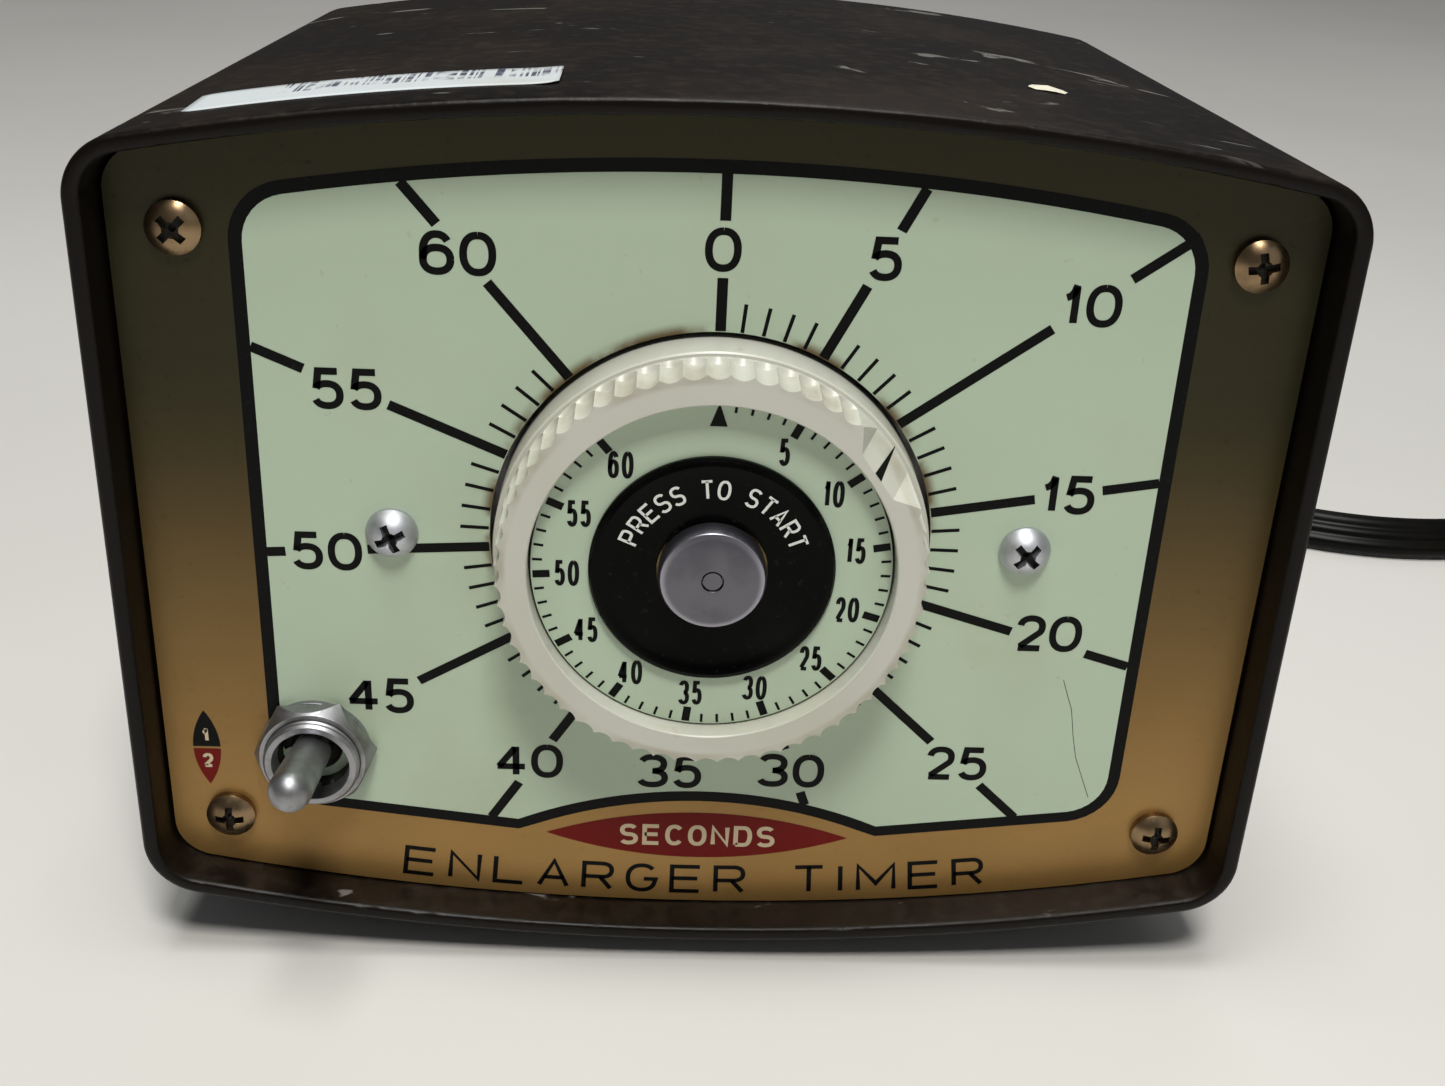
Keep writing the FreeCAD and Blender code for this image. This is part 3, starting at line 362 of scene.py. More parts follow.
def plastic_material(name, color, roughness, dust=0.15, dust_color=(0.30, 0.28, 0.25), specular=0.30):
    """Moulded plastic or rubber with a light film of dust and a fine moulded grain."""
    material, tree, shader = new_material(name, color, roughness, Specular_IOR_Level=specular)
    film = times(tree, patches(tree, 90, 5, 0.42, 0.78), dust)
    speck = times(tree, patches(tree, 1100, 2, 0.66, 0.74), dust * 2.2)
    cover = math_node(tree, "MAXIMUM", film, speck)
    set_color(tree, shader, mix_color(tree, cover, color, dust_color))
    set_roughness(tree, shader, mix_value(tree, cover, roughness, roughness + 0.35))
    add_bump(tree, shader, noise(tree, 1300, 2), 0.06, 0.0001)
    return material


def ink_material(name, color, roughness=0.38):
    """Screen-printed ink, very slightly broken in coverage."""
    material, tree, shader = new_material(name, color, roughness, Specular_IOR_Level=0.12)
    thin = patches(tree, 1600, 3, 0.60, 0.80)
    lighter = tuple(channel + (0.5 - channel) * 0.015 for channel in color)
    set_color(tree, shader, mix_color(tree, thin, color, lighter))
    set_roughness(tree, shader, mix_value(tree, thin, roughness, roughness + 0.2))
    return material


def label_material():
    """White paper label, yellowed in places, with a strip of plain bars printed across it."""
    white = (0.58, 0.62, 0.64)
    yellowed = (0.50, 0.51, 0.48)
    bar_color = (0.06, 0.06, 0.10)
    material, tree, shader = new_material("paper_label", white, 0.55)
    bars = ramp(tree, noise(tree, 2600, 0, (1, 0, 0), (0, 0, -0.04)), 0.49, 0.51)
    place = split_axes(tree, object_coordinates(tree))
    back_half = ramp(tree, place["Y"], -0.0307, -0.0305)
    past_margin = ramp(tree, place["X"], -0.050, -0.0495)
    strip = times(tree, back_half, past_margin)
    worn = patches(tree, 300, 5, 0.62, 0.40)
    printed = times(tree, times(tree, bars, strip), worn)
    paper = mix_color(tree, patches(tree, 60, 4, 0.4, 0.75), white, yellowed)
    set_color(tree, shader, mix_color(tree, printed, paper, bar_color))
    add_bump(tree, shader, noise(tree, 500, 3), 0.1, 0.0002)
    return material


def floor_material():
    """Plain pale floor, very slightly uneven in tone."""
    pale = (0.70, 0.68, 0.65)
    material, tree, shader = new_material("pale_floor", pale, 0.75)
    tone = patches(tree, 6, 4, 0.3, 0.7)
    set_color(tree, shader, mix_color(tree, tone, pale, (0.66, 0.64, 0.61)))
    add_bump(tree, shader, noise(tree, 300, 3), 0.05, 0.0005)
    return material


def make_materials():
    return {
        "case": case_material(),
        "panel": panel_material(),
        "mint": enamel_material("mint_enamel", (0.460, 0.560, 0.420), (0.39, 0.43, 0.29)),
        "ivory": ivory_material(),
        "black_ink": ink_material("black_ink", (0.0012, 0.0012, 0.0014)),
        "red_ink": ink_material("red_ink", (0.150, 0.006, 0.004)),
        "beige_ink": ink_material("beige_ink", (0.62, 0.50, 0.33)),
        "white_ink": ink_material("white_ink", (0.72, 0.75, 0.70)),
        "bronze": metal_material("bronze_plate", (0.30, 0.205, 0.115), 0.26, (0.10, 0.065, 0.04), 0.6),
        "zinc": metal_material("zinc_plate", (0.62, 0.63, 0.68), 0.46, (0.42, 0.41, 0.40), 0.5),
        "nickel": metal_material("worn_nickel", (0.36, 0.36, 0.38), 0.40, (0.15, 0.14, 0.12), 0.75),
        "steel": metal_material("plated_steel", (0.52, 0.52, 0.53), 0.33, (0.38, 0.36, 0.33), 0.35),
        "blued": metal_material("blued_steel", (0.12, 0.14, 0.20), 0.30, (0.20, 0.14, 0.09), 0.3),
        "brass": metal_material("machined_brass", (0.66, 0.47, 0.19), 0.28, (0.34, 0.23, 0.10), 0.35),
        "turned": turned_material("turned_aluminium", (0.155, 0.150, 0.175), 0.34),
        "cap": plastic_material("black_gloss", (0.0005, 0.0008, 0.0006), 0.20, 0.008, specular=0.07),
        "phenolic": plastic_material("dark_phenolic", (0.030, 0.020, 0.016), 0.40, 0.10),
        "nylon": plastic_material("natural_nylon", (0.70, 0.67, 0.58), 0.45, 0.08),
        "outlet": plastic_material("brown_outlet", (0.045, 0.024, 0.015), 0.30, 0.12),
        "rubber": plastic_material("black_rubber", (0.016, 0.016, 0.017), 0.52, 0.22),
        "lead": plastic_material("black_lead", (0.002, 0.002, 0.0015), 0.34, 0.03, (0.1, 0.07, 0.04), 0.12),
        # Near-black plastic, painted as shade down in the screw recesses and the toggle's bore.
        "dirt_and_shade": plastic_material("painted_recess_shade", (0.006, 0.005, 0.003), 0.6, 0.08),
        "label": label_material(),
        "chip": enamel_material("cream_flake", (0.72, 0.68, 0.55), (0.45, 0.38, 0.25), 0.6),
        "floor": floor_material(),
    }


# ---- Mesh helpers ----

def show(item):
    """Puts an object in the scene, and hands it back."""
    bpy.context.scene.collection.objects.link(item)
    return item


def mesh_piece(name, mesh, material, body):
    piece = show(bpy.data.objects.new(name, mesh))
    mesh.materials.clear()
    mesh.materials.append(material)
    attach(piece, body)
    return piece


def finished_mesh(bm, name, matrix=PANEL, smooth=False):
    mesh = bpy.data.meshes.new(name)
    bmesh.ops.transform(bm, matrix=matrix, verts=bm.verts)
    bm.to_mesh(mesh)
    bm.free()
    for polygon in mesh.polygons:
        polygon.use_smooth = smooth
    return mesh


def evaluated_mesh(data):
    """The mesh that a curve makes; the object itself is dropped."""
    maker = show(bpy.data.objects.new("maker", data))
    graph = bpy.context.evaluated_depsgraph_get()
    mesh = bpy.data.meshes.new_from_object(maker.evaluated_get(graph))
    bpy.data.objects.remove(maker)
    return mesh


def add_mesh(bm, mesh, matrix):
    mesh.transform(matrix)
    bm.from_mesh(mesh)
    bpy.data.meshes.remove(mesh)


def add_spline(data, kind, places):
    spline = data.splines.new(kind)
    spline.points.add(len(places) - 1)
    for point, place in zip(spline.points, places):
        point.co = (*place, 1)
    return spline


def add_filled(bm, outlines, lift):
    """Filled flat shape from closed outlines; inner outlines are holes."""
    data = bpy.data.curves.new("outline", "CURVE")
    data.dimensions = "2D"
    data.fill_mode = "BOTH"
    for outline in outlines:
        spline = add_spline(data, "POLY", [(x, z, 0) for x, z in outline])
        spline.use_cyclic_u = True
    add_mesh(bm, evaluated_mesh(data), Matrix.Translation((0, 0, lift)))


SHARPEST_MITRE = 0.62


def add_stroke(bm, points, width, lift, matrix):
    """Ribbon of one width along a line of points, with mitred corners and square ends."""
    points = [Vector(point) for point in points]
    left, right = [], []
    for index, point in enumerate(points):
        before = (point - points[index - 1]).normalized() if index else None
        after = (points[index + 1] - point).normalized() if index < len(points) - 1 else None
        before, after = before or after, after or before
        normal = Vector((-before.y - after.y, before.x + after.x)).normalized()
        reach = width / 2 / max(SHARPEST_MITRE, normal.dot(Vector((-before.y, before.x))))
        left.append(point + normal * reach)
        right.append(point - normal * reach)
    left = [bm.verts.new(matrix @ Vector((point.x, point.y, lift))) for point in left]
    right = [bm.verts.new(matrix @ Vector((point.x, point.y, lift))) for point in right]
    for index in range(len(points) - 1):
        bm.faces.new((right[index], right[index + 1], left[index + 1], left[index]))


BOWL_SQUARENESS = 0.88


def rounded_arc(centre_x, centre_z, radius_x, radius_z, start, end):
    """Squarish ellipse arc, the shape of a wide letter's bowl."""
    count = max(6, int(abs(end - start) / 9))
    points = []
    for index in range(count + 1):
        angle = math.radians(start + (end - start) * index / count)
        cosine, sine = math.cos(angle), math.sin(angle)
        x = math.copysign(abs(cosine) ** BOWL_SQUARENESS, cosine)
        z = math.copysign(abs(sine) ** BOWL_SQUARENESS, sine)
        points.append((centre_x + radius_x * x, centre_z + radius_z * z))
    return points


# Each letter is a few strokes in a box from -1 to 1. A stroke runs through points (x, z) and along arcs
# (centre x, centre z, radius x, radius z, start angle, end angle).
LETTERS = {
    "0": [[(0, 0, 1, 1, 90, 450)]],
    "1": [[(0.55, 1), (0.55, -1)], [(-1, 0.42), (-0.35, 0.50), (0.2, 0.72), (0.55, 1.12)]],
    "2": [[(0, 0.42, 1, 0.58, 172, -32), (-0.86, -0.88)], [(-1, -1), (1, -1)]],
    "3": [[(0, 0.5, 0.9, 0.5, 158, -90)], [(0, -0.5, 1, 0.5, 90, -160)]],
    "4": [[(0.42, -1), (0.42, 1)], [(0.34, 0.90), (-0.92, -0.42)], [(-1.05, -0.42), (1.12, -0.42)]],
    "5": [[(0.84, 1), (-0.66, 1), (-0.86, -0.02)], [(-0.03, -0.36, 1, 0.64, 146, -155)]],
    "6": [[(0, -0.36, 1, 0.64, 0, 360)], [(-1, -0.36), (0, 0, 1, 1, 180, 38)]],
    "A": [[(-1, -1), (0, 1), (1, -1)], [(-0.7, -0.35), (0.7, -0.35)]],
    "C": [[(0, 0, 1, 1, 40, 320)]],
    "D": [[(-1, -1), (-1, 1), (0.1, 1), (0.1, 0, 0.9, 1, 90, -90), (-1, -1)]],
    "E": [[(1, 1), (-1, 1), (-1, -1), (1, -1)], [(-1, 0.04), (0.85, 0.04)]],
    "G": [[(0, 0, 1, 1, 42, 328), (1, -0.1), (0.15, -0.1)]],
    "I": [[(0, 1), (0, -1)]],
    "L": [[(-1, 1), (-1, -1), (1, -1)]],
    "M": [[(-1, -1), (-1, 1), (0, -0.5), (1, 1), (1, -1)]],
    "N": [[(-1, -1), (-1, 1), (1, -1), (1, 1)]],
    "O": [[(0, 0, 1, 1, 90, 450)]],
    "P": [[(-1, -1), (-1, 1), (0.35, 1), (0.35, 0.46, 0.65, 0.54, 90, -90), (-1, -0.08)]],
    "R": [[(-1, -1), (-1, 1), (0.3, 1), (0.3, 0.46, 0.68, 0.54, 90, -90), (-1, -0.08)],
          [(0.15, -0.08), (0.95, -1)]],
    "S": [[(0, 0.5, 0.93, 0.5, 28, 270), (0, -0.5, 1, 0.5, 90, -152)]],
    "T": [[(-1, 1), (1, 1)], [(0, 1), (0, -1)]],
}


SAME_POINT = 0.01


def add_letter(bm, letter, x, z, lift, width, height, stroke, turn=0.0):
    """One letter in a box of that width and height about (x, z), turned clockwise."""
    matrix = Matrix.Translation((x, z, 0)) @ Matrix.Rotation(math.radians(-turn), 4, "Z")
    half_x, half_z = (width - stroke) / 2, (height - stroke) / 2
    for items in LETTERS[letter]:
        points = []
        for item in items:
            fresh = [item] if len(item) == 2 else rounded_arc(*item)
            joined = points and math.dist(points[-1], fresh[0]) < SAME_POINT
            points += fresh[1:] if joined else fresh
        add_stroke(bm, [(across * half_x, up * half_z) for across, up in points], stroke, lift, matrix)


LETTER_WIDTHS = {"1": 0.55, "2": 0.88, "5": 0.92, "6": 0.95, "I": 0.24, "M": 1.25, " ": 0.75}


def letter_width(letter, full):
    return full * LETTER_WIDTHS.get(letter, 1.0)


def word_length(word, full_width, gap):
    return sum(letter_width(letter, full_width) for letter in word) + gap * (len(word) - 1)


def spread_letters(text, full_width, length):
    """Each letter with its width and its middle, evenly gapped over a length centred on zero."""
    widths = [letter_width(letter, full_width) for letter in text]
    gap = (length - sum(widths)) / max(1, len(text) - 1)
    left = -length / 2
    spread = []
    for letter, width in zip(text, widths):
        if letter != " ":
            spread.append((letter, width, left + width / 2))
        left += width + gap
    return spread


def add_word(bm, word, x, z, lift, full_width, height, stroke, gap):
    """Letters in a row, centred on (x, z)."""
    length = word_length(word, full_width, gap)
    for letter, width, middle in spread_letters(word, full_width, length):
        add_letter(bm, letter, x + middle, z, lift, width, height, stroke)


def add_quad(bm, corners, lift):
    bm.faces.new([bm.verts.new((x, z, lift)) for x, z in corners])


def on_dial(radius, clockwise, side=0.0):
    """Point at a radius and an angle clockwise from the top, moved to one side of that radius."""
    sine = math.sin(math.radians(clockwise))
    cosine = math.cos(math.radians(clockwise))
    return radius * sine + side * cosine, radius * cosine - side * sine


def add_radial_bar(bm, inner, outer, clockwise, width, lift):
    """Bar along a radius of the dial."""
    half = width / 2
    ends = ((inner, -half), (outer, -half), (outer, half), (inner, half))
    add_quad(bm, [on_dial(radius, clockwise, side) for radius, side in ends], lift)


def arc(centre, radius, start, end, count):
    """Points on an arc, from one angle to another in degrees, counter-clockwise from +x."""
    points = []
    for index in range(count + 1):
        angle = math.radians(start + (end - start) * index / count)
        points.append((centre[0] + radius * math.cos(angle), centre[1] + radius * math.sin(angle)))
    return points


def circle(radius, count=128):
    return arc((0, 0), radius, 0, 360, count)[:-1]


# ---- CAD nodes redrawn with crisp edges ----

SHARP_DEGREES = 24
FLAT_DEGREES = 0.4
MERGE_DISTANCE = 0.000002


def body_of(node):
    bodies = frame["record"]["behaviour"]["bodies"]
    return next(body for body, nodes in bodies.items() if node in nodes)


def redraw(node, material, round_edges):
    """The node's own shape as a visual piece: crisp creases, with the edges slightly rounded over."""
    mesh = frame["nodes"][node].data.copy()
    bm = bmesh.new()
    bm.from_mesh(mesh)
    bmesh.ops.remove_doubles(bm, verts=bm.verts, dist=MERGE_DISTANCE)
    bmesh.ops.dissolve_limit(bm, angle_limit=math.radians(FLAT_DEGREES), verts=bm.verts, edges=bm.edges)
    bm.to_mesh(mesh)
    bm.free()
    for name in [attribute.name for attribute in mesh.attributes if "normal" in attribute.name]:
        mesh.attributes.remove(mesh.attributes[name])
    for polygon in mesh.polygons:
        polygon.use_smooth = True
    mesh.set_sharp_from_angle(angle=math.radians(SHARP_DEGREES))
    piece = mesh_piece(f"{node}_finish", mesh, material, body_of(node))
    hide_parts(node)
    if round_edges:
        bevel = piece.modifiers.new("edges", "BEVEL")
        bevel.width = round_edges
        bevel.segments = 2
        bevel.limit_method = "ANGLE"
        bevel.angle_limit = math.radians(SHARP_DEGREES)
        bevel.harden_normals = True
    return piece


# How deep and how far out the painted recess shade reaches.
RECESS_SHADE_DEPTH = 0.00058
RECESS_SHARE = 0.62
CORNER_HEAD_RADIUS = 0.0031
MOVEMENT_HEAD_RADIUS = 0.00315
TOGGLE_BORE = 0.0046
TOGGLE_SHADE_FRONT = 0.0025


def darken(piece, dirt_and_shade, centres, reach, front):
    """Painted shade on the faces that lie within reach of an axis through a centre (x, z), and behind
    front: they take a second, near-black material.
    """
    piece.data.materials.append(dirt_and_shade)
    for polygon in piece.data.polygons:
        middle = polygon.center
        nearest = min(math.hypot(middle.x - x, middle.z - z) for x, z in centres)
        if nearest < reach and middle.y > front:
            polygon.material_index = 1


def darken_recesses(piece, node, head_radius, dirt_and_shade):
    """Painted shade in the driver recess of each screw head."""
    low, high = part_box(node)
    centres = [(x, z) for x in (low[0] + head_radius, high[0] - head_radius)
               for z in (low[2] + head_radius, high[2] - head_radius)]
    darken(piece, dirt_and_shade, centres, RECESS_SHARE * head_radius, low[1] + RECESS_SHADE_DEPTH)


def darken_toggle(pieces, dirt_and_shade):
    """Painted shade down in the toggle switch: the bushing's bore and the root of the lever."""
    low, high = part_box("toggle_nut")
    centre = ((low[0] + high[0]) / 2, (low[2] + high[2]) / 2)
    for name in ("toggle_bushing", "toggle_lever"):
        darken(pieces[name], dirt_and_shade, [centre], TOGGLE_BORE, PANEL_Y - TOGGLE_SHADE_FRONT)


# Each redrawn node, with the radius its edges are rounded to, in metres.
REDRAWN = {
    "case_shell": 0.0,
    "corner_screws": 0.00010,
    "movement_screws": 0.00010,
    "set_ring": 0.00006,
    "centre_cap": 0.0,
    "start_button": 0.00008,
    "push_rod": 0.0,
    "toggle_bushing": 0.00008,
    "toggle_washers": 0.00010,
    "toggle_nut": 0.00015,
    "toggle_lever": 0.0,
    "enlarger_outlet": 0.00030,
    "safelight_outlet": 0.00030,
    "rubber_feet": 0.00030,
    "plug_body": 0.0,
    "plug_pins": 0.00010,
    "strain_relief": 0.00030,
}


def redraw_nodes(materials):
    pieces = {}
    for key, names in NODE_MATERIALS.items():
        for name in names:
            if name in REDRAWN:
                pieces[name] = redraw(name, materials[key], REDRAWN[name])
    # Near-black material, painted as shade in recesses.
    dirt_and_shade = materials["dirt_and_shade"]
    darken_recesses(pieces["corner_screws"], "corner_screws", CORNER_HEAD_RADIUS, dirt_and_shade)
    darken_recesses(pieces["movement_screws"], "movement_screws", MOVEMENT_HEAD_RADIUS, dirt_and_shade)
    darken_toggle(pieces, dirt_and_shade)
    return pieces


# ---- Printed face ----

# The face's outline: half its width, its top and floor at the middle, and the radii of its curves.
FACE_HALF_WIDTH = 53.1
FACE_TOP = 44.62
FACE_CROWN = 290.0
FACE_CORNER = 5.6
FACE_FLOOR = -42.07
FACE_FLOOR_BOW = 297.0
NOTCH_X = 23.4
NOTCH_Z = FACE_FLOOR + NOTCH_X ** 2 / (2 * FACE_FLOOR_BOW)
ARCH_TOP = -36.2
ARCH_RISE = ARCH_TOP - NOTCH_Z
BORDER = 1.55


def badge_arch(grow):
    """The arch over the badge, from left to right, with the ends of the floor beside it."""
    radius = (NOTCH_X ** 2 + ARCH_RISE ** 2) / (2 * ARCH_RISE)
    angle = math.degrees(math.asin(NOTCH_X / radius))
    arch = arc((0, ARCH_TOP - radius), radius - grow, 90 + angle, 90 - angle, 24)
    arch = [point for point in arch if abs(point[0]) < NOTCH_X - grow * 1.2]
    return [(-NOTCH_X, NOTCH_Z - grow)] + arch + [(NOTCH_X, NOTCH_Z - grow)]


def face_outline(grow=0.0):
    """Dial face: crowned top, straight sides, round corners, and an arch over the badge."""
    half = FACE_HALF_WIDTH + grow
    corner = FACE_CORNER + grow
    top_centre = FACE_TOP - FACE_CROWN
    reach = FACE_CROWN + grow - corner
    corner_x = half - corner
    corner_z = top_centre + math.sqrt(reach ** 2 - corner_x ** 2)
    crown_end = math.degrees(math.atan2(corner_z - top_centre, corner_x))
    right_top = arc((corner_x, corner_z), corner, 0, crown_end, 8)
    crown = arc((0, top_centre), FACE_CROWN + grow, crown_end, 180 - crown_end, 24)[1:-1]
    left_top = arc((-corner_x, corner_z), corner, 180 - crown_end, 180, 8)
    low_z = FACE_FLOOR - grow + corner_x ** 2 / (2 * FACE_FLOOR_BOW) + corner * 1.01
    slope = math.degrees(math.atan(corner_x / FACE_FLOOR_BOW))
    left_low = arc((-corner_x, low_z), corner, 180, 270 - slope, 8)
    right_low = arc((corner_x, low_z), corner, 270 + slope, 360, 8)
    return right_top + crown + left_top + left_low + badge_arch(grow) + right_low


def print_piece(bm, name, material, body="case"):
    """A coat of print, on the panel unless another body is named."""
    mesh_piece(name, finished_mesh(bm, name), material, body)


def lens(centre_x, centre_z, half_width, half_height, start=0.0, end=1.0):
    """Upright pointed ellipse between two fractions of its height, or a flat one when wider than high."""
    upright = half_height > half_width
    long = max(half_width, half_height)
    short = min(half_width, half_height)
    radius = (long ** 2 + short ** 2) / (2 * short)
    steps = 24
    edge = []
    for index in range(steps + 1):
        along = -long + 2 * long * (start + (end - start) * index / steps)
        edge.append((math.sqrt(max(radius ** 2 - along ** 2, 0)) - (radius - short), along))
    sides = edge + [(-across, along) for across, along in edge[::-1]]
    if upright:
        return [(centre_x + across, centre_z + along) for across, along in sides]
    return [(centre_x + along, centre_z + across) for across, along in sides]


# Where the middle of each numeral is printed.
NUMERALS = {
    0: (-0.1, 36.1),
    5: (18.1, 35.7),
    10: (42.0, 31.1),
    15: (42.45, 7.5),
    20: (42.6, -11.5),
    25: (33.1, -31.0),
    30: (11.65, -32.7),
    35: (-4.0, -33.2),
    40: (-22.0, -32.1),
    45: (-40.5, -22.85),
    50: (-46.0, -2.8),
    55: (-42.6, 18.1),
    60: (-29.5, 34.6),
}
NUMERAL_HEIGHT = 5.1
NUMERAL_STROKE = 0.87
NUMERAL_CLEARANCE = 0.7
DIGIT_WIDTH = 4.1
DIGIT_GAP = 0.55
LEADER_WIDTH = 1.22
TICK_WIDTH = 0.44
TICK_END = 30.0
SCALE_START = PANEL_HOLE + 0.1
SHORTEST_LEADER = 0.6
LEADER_STEP = 0.05


def leader_spans(second):
    """Stretches of a major mark: from the ring to the numeral, and on from the numeral to the border."""
    clockwise = second * DEGREES_PER_SECOND
    numeral_x, numeral_z = NUMERALS[second]
    half_x = word_length(str(second), DIGIT_WIDTH, DIGIT_GAP) / 2 + NUMERAL_CLEARANCE
    half_z = NUMERAL_HEIGHT / 2 + NUMERAL_CLEARANCE
    spans = []
    start = None
    radius = SCALE_START
    while inside_face(*on_dial(radius, clockwise)):
        x, z = on_dial(radius, clockwise)
        clear = abs(x - numeral_x) > half_x or abs(z - numeral_z) > half_z
        if clear and start is None:
            start = radius
        if not clear and start is not None:
            spans.append((start, radius))
            start = None
        radius += LEADER_STEP
    if start is not None:
        spans.append((start, radius))
    return [span for span in spans if span[1] - span[0] > SHORTEST_LEADER]


def inside_face(x, z):
    """Whether a point lies on the mint face, short of its border."""
    if abs(x) > FACE_HALF_WIDTH or z > FACE_TOP - x ** 2 / (2 * FACE_CROWN):
        return False
    if abs(x) < NOTCH_X:
        return z > ARCH_TOP - x ** 2 * ARCH_RISE / NOTCH_X ** 2
    return z > FACE_FLOOR + x ** 2 / (2 * FACE_FLOOR_BOW)


def make_face(materials):
    """Mint face, its border, and the seconds scale round the ring."""
    face = bmesh.new()
    add_filled(face, [face_outline(), circle(PANEL_HOLE)], FACE_LIFT)
    print_piece(face, "dial_face_print", materials["mint"])
    marks = bmesh.new()
    add_filled(marks, [face_outline(BORDER), face_outline()], BORDER_LIFT)
    for second in range(LAST_SECOND + 1):
        clockwise = second * DEGREES_PER_SECOND
        if second % 5:
            add_radial_bar(marks, SCALE_START, TICK_END, clockwise, TICK_WIDTH, SCALE_LIFT)
            continue
        for inner, outer in leader_spans(second):
            add_radial_bar(marks, inner, outer, clockwise, LEADER_WIDTH, SCALE_LIFT)
        x, z = NUMERALS[second]
        add_word(marks, str(second), x, z, SCALE_LIFT, DIGIT_WIDTH, NUMERAL_HEIGHT,
                 NUMERAL_STROKE, DIGIT_GAP)
    print_piece(marks, "scale_print", materials["black_ink"])


BADGE_Z = -43.15
BADGE_HALF_WIDTH = 19.8
BADGE_HALF_HEIGHT = 3.55

# The switch's legend: a pointed ellipse, its lower part red and its upper part black, with a thin gap.
LEGEND_X = -62.7
LEGEND_Z = -31.2
LEGEND_HALF_WIDTH = 1.72
LEGEND_HALF_HEIGHT = 5.5
LEGEND_RED_END = 0.485
LEGEND_BLACK_START = 0.515


def legend_part(start, end):
    return lens(LEGEND_X, LEGEND_Z, LEGEND_HALF_WIDTH, LEGEND_HALF_HEIGHT, start, end)


def make_badge(materials):
    """Red badge under the arch with its word, and the red half and the numbers of the switch's legend."""
    red = bmesh.new()
    add_filled(red, [lens(0.0, BADGE_Z, BADGE_HALF_WIDTH, BADGE_HALF_HEIGHT)], BORDER_LIFT)
    add_filled(red, [legend_part(0.0, LEGEND_RED_END)], BORDER_LIFT)
    print_piece(red, "red_print", materials["red_ink"])
    beige = bmesh.new()
    add_word(beige, "SECONDS", 0.0, BADGE_Z - 0.05, WORD_LIFT, full_width=2.45, height=3.3,
             stroke=0.6, gap=0.55)
    add_letter(beige, "1", LEGEND_X - 0.05, LEGEND_Z + 1.9, WORD_LIFT, width=1.0, height=2.1, stroke=0.44)
    add_letter(beige, "2", LEGEND_X, LEGEND_Z - 1.9, WORD_LIFT, width=1.3, height=2.1, stroke=0.44)
    print_piece(beige, "beige_print", materials["beige_ink"])


def make_wordmark(materials):
    """Plain type name on a line bowed like the case's lower edge, and the legend's black half."""
    bow = 320.0
    line_z = -50.3
    bm = bmesh.new()
    for letter, width, x in spread_letters("ENLARGER TIMER", full_width=4.3, length=77.0):
        lean = -math.degrees(math.atan(x / bow))
        z = line_z + x ** 2 / (2 * bow)
        add_letter(bm, letter, x, z, BORDER_LIFT, width, height=4.6, stroke=0.62, turn=lean)
    add_filled(bm, [legend_part(LEGEND_BLACK_START, 1.0)], BORDER_LIFT)
    print_piece(bm, "dark_print", materials["black_ink"])


def make_hairline(materials):
    """Fine dark hairline that wanders down the lower right of the face."""
    path = [
        (45.3, -18.1), (46.2, -20.6), (46.9, -22.4), (47.6, -26.2), (48.4, -29.6), (49.6, -32.6),
        (50.9, -35.8),
    ]
    half_width = 0.04
    bm = bmesh.new()
    for start, end in zip(path, path[1:]):
        start, end = Vector(start), Vector(end)
        along = (end - start).normalized() * half_width
        side = Vector((-along.y, along.x))
        add_quad(bm, [start - side, end - side, end + side, start + side], HAIRLINE_LIFT)
    print_piece(bm, "hairline_mark", materials["black_ink"])


# ---- Elapsed-time dial, cap and pointer ----

DIAL_FACE_LIFT = (PANEL_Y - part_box("elapsed_dial")[0][1]) / MM
INNER_NUMERAL_RADIUS = 16.9
INNER_SCALE_EDGE = 20.9
INNER_TICK = 1.15
INNER_TICK_WIDTH = 0.32
INNER_MARK = 2.0
INNER_MARK_WIDTH = 0.95


def make_dial_print(materials):
    """Arrowhead at zero, ticks and numerals on the elapsed-time dial."""
    lift = DIAL_FACE_LIFT + BORDER_LIFT
    arrowhead = [(-1.0, 18.0), (1.0, 18.0), (0.05, 20.7), (-0.05, 20.7)]
    bm = bmesh.new()
    add_quad(bm, arrowhead, lift)
    for second in range(1, LAST_SECOND + 1):
        clockwise = second * DEGREES_PER_SECOND
        if second % 5:
            inner = INNER_SCALE_EDGE - INNER_TICK
            add_radial_bar(bm, inner, INNER_SCALE_EDGE, clockwise, INNER_TICK_WIDTH, lift)
            continue
        inner = INNER_SCALE_EDGE - INNER_MARK
        add_radial_bar(bm, inner, INNER_SCALE_EDGE, clockwise, INNER_MARK_WIDTH, lift)
        x, z = on_dial(INNER_NUMERAL_RADIUS, clockwise)
        add_word(bm, str(second), x, z, lift, full_width=1.34, height=3.35, stroke=0.50, gap=0.30)
    print_piece(bm, "dial_print", materials["black_ink"], "dial")


def make_cap_print(materials):
    """Lettering round the upper part of the cap, each letter upright to the centre."""
    radius = 10.5
    lift = 8.2
    length = math.radians(142.0) * radius
    bm = bmesh.new()
    for letter, width, along in spread_letters("PRESS TO START", full_width=1.55, length=length):
        clockwise = math.degrees(along / radius)
        x, z = on_dial(radius, clockwise)
        add_letter(bm, letter, x, z, lift, width, height=2.45, stroke=0.33, turn=clockwise)
    print_piece(bm, "cap_print", materials["white_ink"], "dial")


